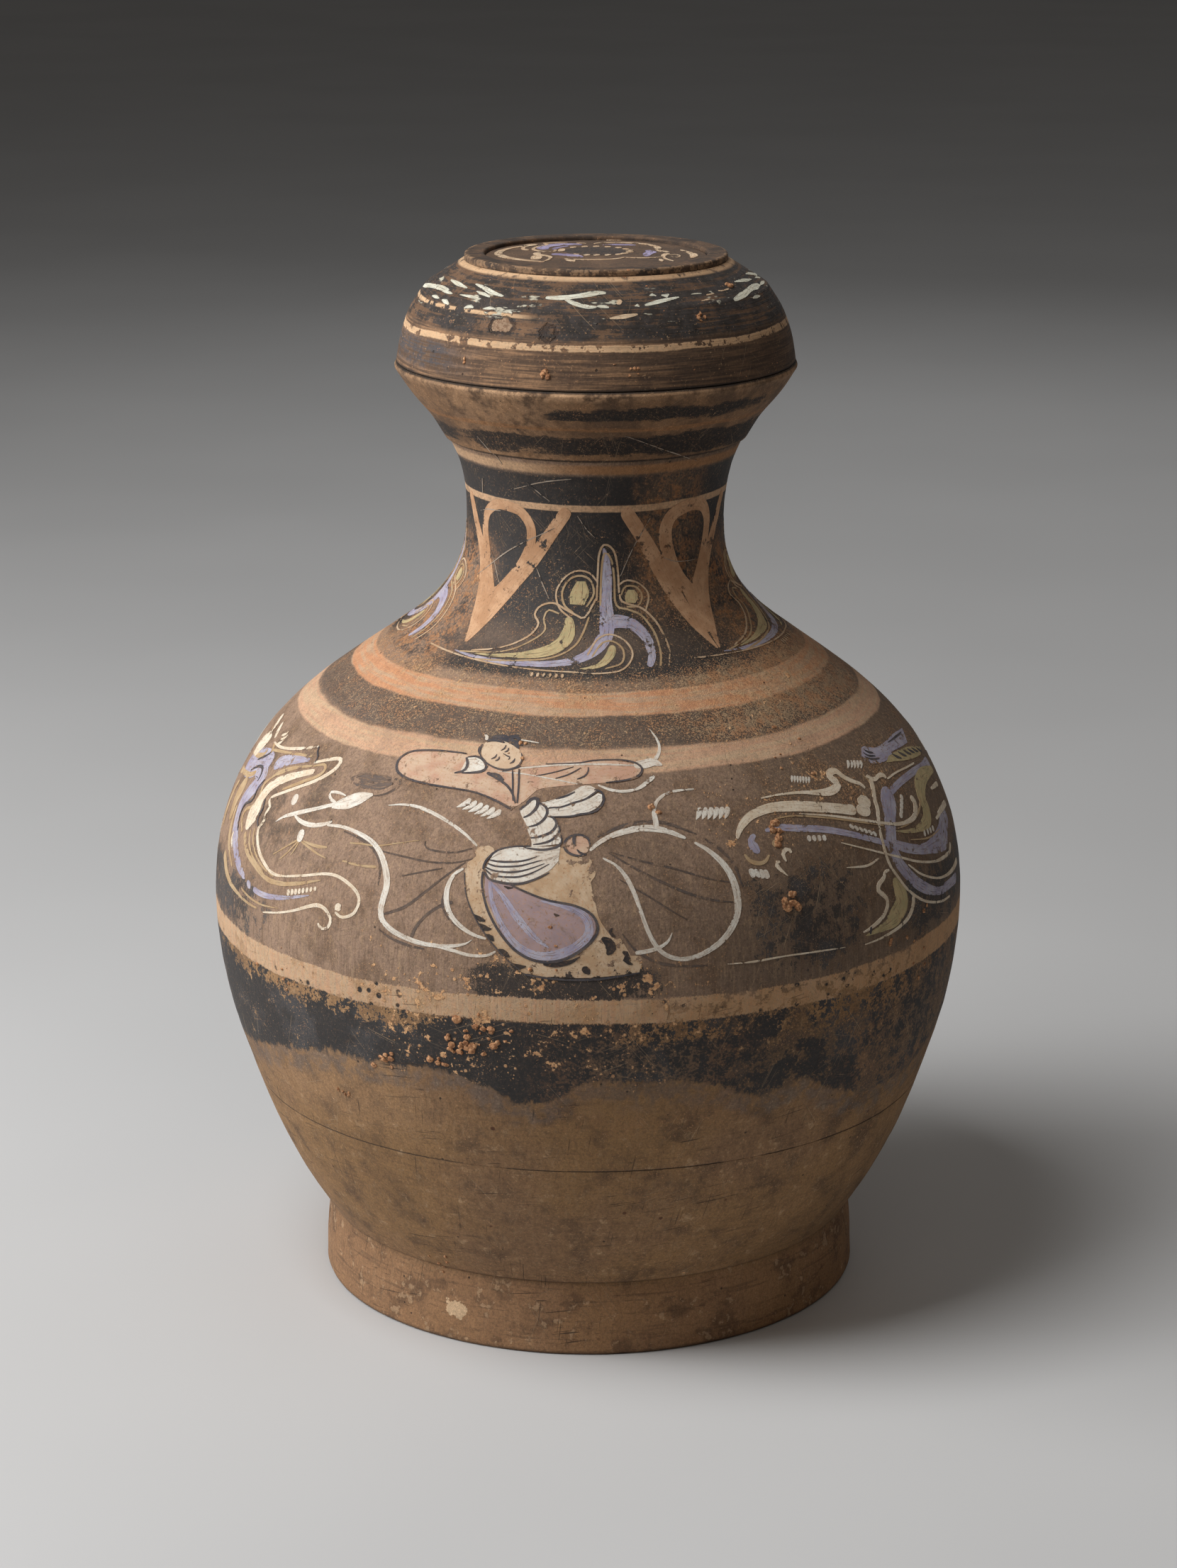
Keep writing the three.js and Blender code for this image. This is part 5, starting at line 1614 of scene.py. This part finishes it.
# %% Right motif
right_pale = strokes([
    ([24, 247.6, 24.5, 250, 25.6, 252.8, 27.6, 255.4, 30.8, 256.8, 33.6, 256.6, 36.7, 255.7, 40.2, 253.9,
     44.6, 251.3, 48.8, 248.4], (1.4, 3.4, 3.9, 4.4, 4.9, 5, 4.9, 4.7, 4.7, 5.2)),
    ([49, 248.2, 50.8, 247.5, 52.2, 246.5], (4, 6.4, 5.2)),
    ([50.2, 250, 51.3, 251, 52.1, 249.7, 52.5, 247.6], (3.5, 4.8, 6.6, 6)),
    ([30.4, 260.8, 33.6, 261, 38.3, 260.2, 43, 258.2, 45.4, 257.8, 47.2, 258.7, 47.6, 260, 46.8, 262.4,
     47.4, 264, 49, 263.8, 50, 261, 51.7, 258.4, 53, 256.9, 53.7, 254.7], (0.7, 1, 1.6, 4, 3.9, 2.4,
     1.6)),
    ([55.6, 258, 56.4, 257.9, 56.7, 256.8, 57.9, 256.1, 59.3, 256.6, 60.7, 256.2, 61.1, 254.6], (1.3, 2.5,
     2.2, 1.8, 2, 2.6, 1.9)),
    ([56.5, 256.8, 55.8, 254, 54.6, 249.5, 54.2, 246, 52.6, 239, 52, 230, 52.2, 223.6, 53.2, 218.7, 55.5,
     210.5, 59, 203.3, 62.5, 199.1, 66.8, 195.8, 71.1, 194.4], (2.8, 1.7, 1.4, 1.2, 1.1)),
    ([61.3, 254.2, 65.2, 254.4, 70.3, 253.4, 74.8, 252.3], 0.9),
    ([36.5, 252.9, 42.7, 249.3, 49.7, 243.8, 56.8, 237.9, 60.6, 236.2, 63.8, 236.3, 65.6, 239, 66.1,
     241.2, 65.6, 243.9], (0.5, 1, 1.2, 1.8, 3.8)),
    ([51.7, 221.7, 50.7, 221.5, 50, 219.4, 48.6, 217.6, 48.2, 215.1, 49.2, 212.5, 49.9, 209.8, 49.6,
     206.4, 48, 202.9, 45.2, 200.4, 43.8, 199.8], (1.3, 2.4, 2, 1.9, 0.8)),
    ([57, 207.2, 56.4, 202.4, 54.6, 198, 51.4, 195.6, 47.5, 194.4, 44.1, 194.1], (2.5, 2.4, 1.7, 1.3, 0.9,
     0.5)),
    ([42.9, 238.4, 47.7, 233.2, 54.8, 225.3, 60.2, 219.3, 66, 214.8, 70.8, 212.9, 74.5, 212.6, 76, 215],
     (0.5, 1, 1.1, 2.4)),
    ([57.1, 220.2, 60.4, 213.5, 65.5, 207.6, 70.1, 204.9, 75, 203.9, 79.2, 204.3], (0.8, 1, 1, 1.3, 2.2,
     3)),
    ([42.5, 228.4, 47, 226.6, 49.9, 227.8], (0.4, 1.1, 0.8)),
    ([32.8, 239.1, 32.3, 240.9, 31.4, 240, 31.2, 238.4, 31.5, 236.2], (1.5, 1.9, 1.9, 1.6, 0.7)),
    ([30.4, 236.6, 29.6, 236.2, 30.1, 233.6, 31.2, 230.6], (1, 2, 1.3, 0.3)),
    ([72.2, 229.1, 76.5, 229.8, 82.5, 228.6], (1.6, 3, 3)),
    ([76.3, 239.7, 79.4, 238.6, 82.5, 237.3], (1.3, 2.2, 2.5)),
    ([20, 198.1, 24, 197.6, 29, 197.8, 34, 197, 40, 195.6], (0.4, 0.9, 0.6, 0.8, 0.3)),
])
right_lavender = strokes([
    ([29.2, 249, 31.6, 249.5, 35.6, 247.6, 40.2, 245.1, 44.4, 241.6, 49.3, 236.5, 53.9, 231.2], (1.6, 3.2,
     3.2, 3, 2.9, 2.8, 2.7, 3)),
    ([27.2, 248.3, 26.3, 246.4, 26.5, 243.8, 27.2, 241.2], (2, 3, 4.5, 2.4)),
    ([59.9, 251.6, 58.6, 248, 56.9, 242.6, 55.2, 236, 54.2, 230, 54.6, 224, 55.9, 218.3, 58.6, 211, 62.3,
     205, 65.6, 201.6, 68.4, 200], (7, 11, 8, 7.7, 7.6, 6.4, 6, 5.8, 5.4, 4.4, 3.6, 3.8)),
    ([68.1, 200.6, 72.2, 199.6, 76.8, 198.2], (4.2, 4.7, 5)),
    ([60, 249.4, 65, 250.6, 72, 250.3, 78.2, 248.4, 85.2, 245.9], (3.4, 3.5, 3.4, 3.6, 5)),
    ([54.3, 231.7, 57.9, 227, 62.6, 222.9, 67.8, 221, 72.4, 220.6, 74.6, 223.4, 77.1, 225.2, 79.5, 225.7],
     (3.8, 4.8, 4.4, 5.4, 9, 12, 10, 6)),
    between([58.1, 265, 58.6, 263, 61, 260.6, 64.3, 259.8, 68, 259.8], [59.5, 266.7, 60.9, 267.8, 64.1,
            265.5, 67.5, 265.1, 71, 264.9], lane=2.4),
    between([66, 261.4, 69, 261, 73, 260.2, 79, 258.6], [67.6, 265, 71.5, 264.9, 76, 264.8, 83, 262.6],
            lane=2.4),
])
right_olive = strokes([
    ([85, 242.4, 79, 245.3, 74.8, 246, 71.2, 244, 69.6, 239.8, 69.5, 235.6, 68, 231.8, 64.6, 231, 60.4,
     232.4, 56.6, 235.1], (2.8, 4.6, 6.4, 7.6, 9, 8.6, 6, 3, 1.6, 0.7)),
    ([52.4, 217.5, 53.2, 212.5, 53.6, 206.3, 51.2, 201.2, 48, 198.9, 44.3, 197.9], (3.6, 8.6, 9.9, 9.2, 5,
     2.4, 0.7)),
    between([64.5, 259.2, 68.5, 257.2, 74.1, 254.4, 81.8, 251.1], [66.6, 260.6, 71.6, 259.9, 77.7, 257.6,
            86, 252], lane=2.4),
])
right_ochre = strokes([
    ([31.5, 252.8, 35.3, 252.5, 41.1, 249.4, 47.6, 244.6, 53.9, 239.2], (0.5, 0.8, 0.9, 0.9, 0.6)),
    ([24.6, 241.5, 25.4, 238.6, 26.8, 237.2, 28, 237.8, 28.8, 239.9], (1, 1.8, 2, 1.5, 1)),
    ([57.4, 235.6, 61, 235.2, 64.6, 236, 67.6, 238.6, 69, 241.6], (0.5, 1, 1.1, 1.3, 0.8)),
    ([60, 229, 66, 225.4, 72, 224.6], (0.4, 0.9, 0.4)),
    ([55.2, 259.4, 55.8, 255.6, 54.6, 251.6], (0.6, 1, 0.5)),
    dab(30.4, 243.8, 3.6, 3, 40),
])
feathers = pairs([68.4, 260.4, 71.2, 259.6, 73.9, 258.6, 76.4, 257.6, 79, 256.2, 81.8, 254.4])
right_lines = [
    stroke([(x, y), (x + 1, y - 1.8), (x + 2.4, y - 3.4)], (0.7, 1.7, 0.7)) for x, y in feathers
] + strokes([
    ([60.4, 266.7, 61.1, 265.3, 62.4, 264.4], (0.6, 1.3, 0.5)),
    ([59.5, 266, 60.3, 264.3, 62.3, 263.1], (0.6, 1.2, 0.5)),
    ([59.1, 264.5, 60.4, 262.8, 63, 261.7], (0.6, 1.1, 0.4)),
    ([70.3, 264.2, 75, 263.6, 80, 262.6], (0.4, 1, 0.6)),
    dab(45.4, 199.5, 3.4, 1.4, 10),
    dab(66.9, 198.6, 3.4, 1.4, 10),
])
RIGHT = (
    ("right_cloud_lavender", right_lavender, LAVENDER, "lavender_paint", 0.12),
    ("right_cloud_olive", right_olive, OLIVE, "cream_paint", 0.15),
    ("right_cloud_ochre", right_ochre, OCHRE, "cream_paint", 0.18),
    ("right_cloud_pale", right_pale, PALE, "cream_paint", 0.22),
    ("right_cloud_lines", right_lines, DARK_LINE, "brush_line", 0.28),
)

# %% [markdown]
# ## The motifs again on the hidden side
#
# A painted frieze repeats its motifs. So each one is laid a second time, turned round the jar to where the
# first ones and the ribbons leave room, and joined to the film of the same colour.

# %% Clouds on both sides
LEFT_AGAIN, RIGHT_AGAIN = 206, 152
for motif, again in ((LEFT, LEFT_AGAIN), (RIGHT, RIGHT_AGAIN)):
    for name, shapes, coat, slot, lift in motif:
        film(name, shapes + shifted(shapes, again), coat, slot, lift)
print("clouds painted")

# %% [markdown]
# ## Paint on the lid
#
# Dry dashes of white and pale green run round the slope. The flat top has its own small picture: a dark
# oval in a ring of dots, with violet scrolls and cream lines round it.

# %% Lid
def lid_paint(name, first, second, wear, dirt=0.3, dry=0.3):
    return paint(name, first, second, wear, lid_ground, dry, dirt)


LID_WHITE = lid_paint("lid_white_paint", colour(222, 221, 204), colour(206, 202, 182), 0.15, dirt=0.25)
LID_CREAM = lid_paint("lid_cream_paint", colour(222, 196, 164), colour(204, 172, 138), 0.22)
LID_LAVENDER = lid_paint("lid_lavender_paint", colour(170, 162, 196), colour(134, 126, 160), 0.24)
LID_DARK = lid_paint("lid_dark_paint", colour(48, 44, 44), colour(66, 58, 54), 0.14, dirt=0.15, dry=0.2)

dashes = strokes([
    ([-51, 469.6, -45, 468.8, -40, 467.6, -34, 466.8], (0.8, 2.2, 2.6, 1)),
    ([-47, 467.3, -43, 466.8, -39, 466], (0.6, 1.8, 0.8)),
    ([-68, 469, -62, 468.6, -53, 467.8], (0.8, 2.4, 0.8)),
    ([-64, 465, -61, 465.2, -57, 465], (0.5, 2, 0.7)),
    ([-53, 465.3, -47, 465.3, -42, 465], (0.5, 1.8, 0.5)),
    ([-68, 462.5, -65, 462.6, -62, 462.4], (0.6, 1.8, 0.5)),
    ([-60, 462.2, -57, 461.8, -55, 461], (0.8, 2.2, 0.8)),
    ([-47, 460.8, -45, 461.8, -43, 461.6], (0.8, 2, 0.8)),
    ([-39, 461.6, -36, 462.2, -34, 462], (0.6, 1.6, 0.6)),
    ([-31, 461, -29, 461.8, -27.6, 461], (0.8, 2, 0.8)),
    ([-18, 467.4, -12, 467.6, -6, 468.4, 0, 469.4, 3.4, 469.4], (1.8, 3, 2.8, 3.4, 1.6)),
    ([-11, 467.2, -7, 465.6, -3, 464.6, 0, 464.6], (1.6, 2.4, 2.4, 1.4)),
    ([0, 464.8, 2, 464.8, 4, 464.4], (0.8, 2.4, 0.8)),
    ([16, 464.8, 20, 465.6, 25, 466.4, 29.6, 466.9], (1.4, 2.4, 2, 0.8)),
    ([19, 468, 20.4, 468.4, 21.4, 467.8], (0.8, 1.8, 0.8)),
    ([23.4, 468, 25, 467.6, 26.4, 468.2], (1, 2.2, 0.8)),
    ([51, 463.4, 57, 464.4, 64, 465.4, 71, 465.8, 77, 465.6], (1.8, 3.2, 2.6, 3, 2)),
    ([12.6, 464.6, 13.3, 465, 14, 464.4], (0.8, 1.6, 0.8)),
    ([35, 467.4, 37, 467.5, 39.6, 467.3], (0.4, 0.9, 0.3)),
])
tan_dashes = strokes([
    ([4, 460.2, 8, 460.8, 13, 461.6], (0.8, 2.2, 1)),
    dab(7.6, 466.2, 3.4, 2.2, 20),
    ([37, 464.8, 41, 465.2], (0.5, 1)),
    ([41, 466.6, 45, 466.8], (0.8, 0.5)),
    ([48, 467.4, 50, 467.2, 54, 467.4], (1, 0.5, 1)),
])
back_dashes = shifted(dashes[:6] + dashes[10:17], 130) + shifted(dashes[:9] + dashes[13:17], 222)
film("lid_dashes", dashes + back_dashes, LID_WHITE, "white_paint", 0.14, body="lid")
film("lid_tan_dashes", tan_dashes + shifted(tan_dashes, 160), LID_CREAM, "cream_paint", 0.12, body="lid")


oval_dark = [between([-14.6, 13, -12, 6, -6, 2.4, 0, 1.4, 6, 2.4, 11, 6, 13.8, 13],
                     [-14.6, 15, -12, 21, -6, 25.2, 0, 26.4, 6, 25.2, 11, 21.6, 13.8, 15],
                     scale=flat_scale)]
top_lavender = strokes([
    ([-23.6, 18, -24, 27, -18.6, 33, -10.4, 35.6, -6.6, 33], (4, 6.6, 7, 6, 2.4)),
    ([-19, 18, -17.6, 24, -12.6, 29.6], (2.4, 3, 1.6)),
    ([3, 33, 8, 33.8, 13, 33.4, 18, 32], (3, 4.4, 4, 1.4)),
    ([-20, 4, -14.4, 2.2, -9.6, -1.6, -6.4, -6.6], (4, 6, 6, 2.6)),
    ([23, 16, 24.6, 10, 22.6, 3, 23, -3], (3, 5, 4.4, 3)),
], flat_scale)
top_cream = strokes([
    ([-31, 30, -36, 25.6, -41, 18, -43.6, 9, -43, 0, -38.6, -9, -31, -16, -23, -20.6], (2, 2.2, 3, 3.6, 4,
     3.6, 2.6, 1.4)),
    ([-26.6, 33.6, -30, 31.6, -32.4, 27, -33, 20, -30.6, 16], (4.6, 4, 1.6, 1.8, 2.4)),
    ([-23.6, 38, -22.4, 33, -26.4, 27, -28.4, 20, -26.6, 14.4, -22, 11, -18.6, 12.4, -18.6, 17], 1.5),
    ([-24.4, 38.6, -18, 39, -13, 38.6], (1.6, 2.4, 1.2)),
    ([-9, 39, -6.6, 38.6, -4.6, 37], (1.6, 2.4, 1)),
    ([-1, 37, 3, 40, 10, 40.6, 17, 39, 23, 35.4, 26.4, 29, 28, 22, 28, 15, 31.4, 11, 31.4, 4, 29.8, -2,
     30.4, -10, 34, -18], (1.4, 2, 2, 2.2, 2, 3, 3, 2.2, 2.6, 3, 1.6, 1.2, 0.6)),
    ([38, 17, 41, 10, 43.4, 2, 43, -5, 42, -9.6], (1, 2, 3.6, 3.6, 1.2)),
    ([31.4, 1, 34.6, 2, 37, -1, 36.4, -6, 34, -6.6, 33.4, -3.4], 0.9),
    ([13, -7, 18, -8.6, 24, -8.2, 29.6, -6.4], (1.4, 1.7, 1.7, 1)),
    ([28, -12, 28.8, -16, 29, -19], (0.8, 2.2, 0.6)),
    ([-14, -11, -9, -13.6, -3, -14.4, 4, -13.4, 9.6, -10.6, 13, -6], (1.6, 2.6, 2.6, 2.4, 2, 1.2)),
    ([-12.4, -11.6, -11.4, -15.4, -9.6, -20], (3.6, 4, 0.8)),
    ([-26, 8, -26.6, 3, -23.4, -0.6, -20.6, -5, -20.6, -11, -22.6, -18, -24.4, -20], (3, 3.4, 2.4, 2, 1.3,
     1.2, 0.8)),
    dab(-26.6, -7.4, 12, 5, 4, scale=flat_scale),
    dab(-15.6, 16.6, 8, 3.2, 4, scale=flat_scale),
    dab(9, 50.5, 9, 6, 80, scale=flat_scale),
], flat_scale)
ring_dots = [
    (-10.4, 25.4, 10), (-5.2, 27.6, 5), (0, 28.2, 0), (5.2, 26.8, -8), (10, 23.8, -20), (13.2, 19.6, -40),
    (15, 15, 86), (15, 10.6, 80), (12.6, 5.8, 60), (10, 2.8, 30), (5.2, 0.8, 12), (0.2, 0.6, 4),
    (-4.2, 0.8, -6), (-9, 3.2, -16),
]
top_cream += [dab(x, y, 3.6, 3.0, turn, scale=flat_scale) for x, y, turn in ring_dots]
for name, shapes, coat, slot, lift in (
    ("lid_top_oval", oval_dark, LID_DARK, "brush_line", 0.08),
    ("lid_top_lavender", top_lavender, LID_LAVENDER, "lavender_paint", 0.12),
    ("lid_top_cream", top_cream, LID_CREAM, "cream_paint", 0.18),
):
    film(name, shapes, coat, slot, lift, place=on_lid_top, scale=flat_scale, body="lid")
print("lid painted;", len(films), "films")

# %% [markdown]
# ## Crusts of burial soil
#
# Lumps of soil still cling to the wall, most of them in the black zone of the front. Each is a ball pressed
# flat on the wall, and a displacement by a cloud texture makes them ragged. The dice have a seed, so each
# run is the same.

# %% Soil crusts
def crumbly(start):
    place = start.place()
    grit = place.grain(1.0, 3, 0.65, 83)
    lumps = place.grain(3.5, 3, 0.6, 87)
    tint = mix(lumps.smooth(0.4, 0.6), colour(148, 100, 66), colour(192, 138, 96))
    tint = mix(grit.smooth(0.52, 0.62) * 0.6, tint, colour(224, 182, 140))
    tint = mix(grit.smooth(0.44, 0.36) * 0.7, tint, colour(84, 56, 38))
    return tint, grit * 0.1 + 0.88, grit * 0.5 + lumps * 0.4


CRUMB = material("soil_crust", crumbly)
RAGGED = bpy.data.textures.new("ragged", type="CLOUDS")
RAGGED.noise_scale = 1.6 * MM
RAGGED_DEPTH = 1.3 * MM
FLATTENED = 0.5
MM_A_DEGREE = 2.5


def crust(name, heaps, body, seed):
    """Heaps are (degrees, mm, spread in mm, count, size in mm)."""
    dice = random.Random(seed)
    lumps = []
    for degrees, mm, spread, count, size in heaps:
        for _ in range(count):
            here = (degrees + dice.gauss(0, spread) / MM_A_DEGREE, mm + dice.gauss(0, spread))
            bpy.ops.mesh.primitive_ico_sphere_add(subdivisions=3, radius=size * dice.uniform(0.4, 1.2) * MM)
            lump = bpy.context.object
            lump.scale = (dice.uniform(0.7, 1.4), FLATTENED, dice.uniform(0.7, 1.2))
            lump.location = on_wall(*here, 0.1)
            outwards = on_wall(*here, 1) - on_wall(*here, 0)
            lump.rotation_euler = outwards.to_track_quat("-Y", "Z").to_euler()
            lumps.append(lump)
    for lump in lumps:
        lump.select_set(True)
    bpy.context.view_layer.objects.active = lumps[0]
    bpy.ops.object.join()
    piece = bpy.context.object
    bpy.ops.object.transform_apply()
    bpy.ops.object.modifier_add(type="DISPLACE")
    piece.modifiers[-1].texture = RAGGED
    piece.modifiers[-1].strength = RAGGED_DEPTH
    bpy.ops.object.modifier_apply(modifier=piece.modifiers[-1].name)
    bpy.ops.object.shade_smooth()
    piece.name = name
    piece.data.materials.clear()
    piece.data.materials.append(CRUMB)
    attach(piece, body)


jar_heaps = [
    (-18, 160, 4, 20, 1.5), (-15, 168, 4, 14, 1.2), (-31, 152, 3, 8, 1.2), (-22, 153, 2, 5, 1.2),
    (-41, 125, 2, 5, 1.1), (31, 220, 2, 8, 1.6), (31, 247, 2, 9, 1.5), (11, 262, 1, 3, 1.5),
    (-14, 284, 3, 4, 1.2), (50, 191, 1, 2, 1.4), (-6, 205, 7, 10, 0.7), (40, 272, 6, 7, 0.8),
    (60, 180, 8, 8, 0.8), (-50, 175, 8, 8, 0.8), (150, 170, 9, 12, 1.2), (-140, 260, 9, 8, 0.9),
    (-120, 160, 9, 10, 1.1), (-32, 40, 4, 6, 0.8),
]
lid_heaps = [
    (-14, 437, 2, 5, 1.4), (-41, 440, 1, 3, 1.2), (56, 468, 1, 3, 1.3), (34, 458, 2, 5, 1.1),
    (10, 440, 5, 6, 0.7), (-150, 445, 5, 6, 1.0), (120, 462, 4, 5, 1.0),
]
crust("soil_on_jar", jar_heaps, "jar", 11)
crust("soil_on_lid", lid_heaps, "lid", 12)
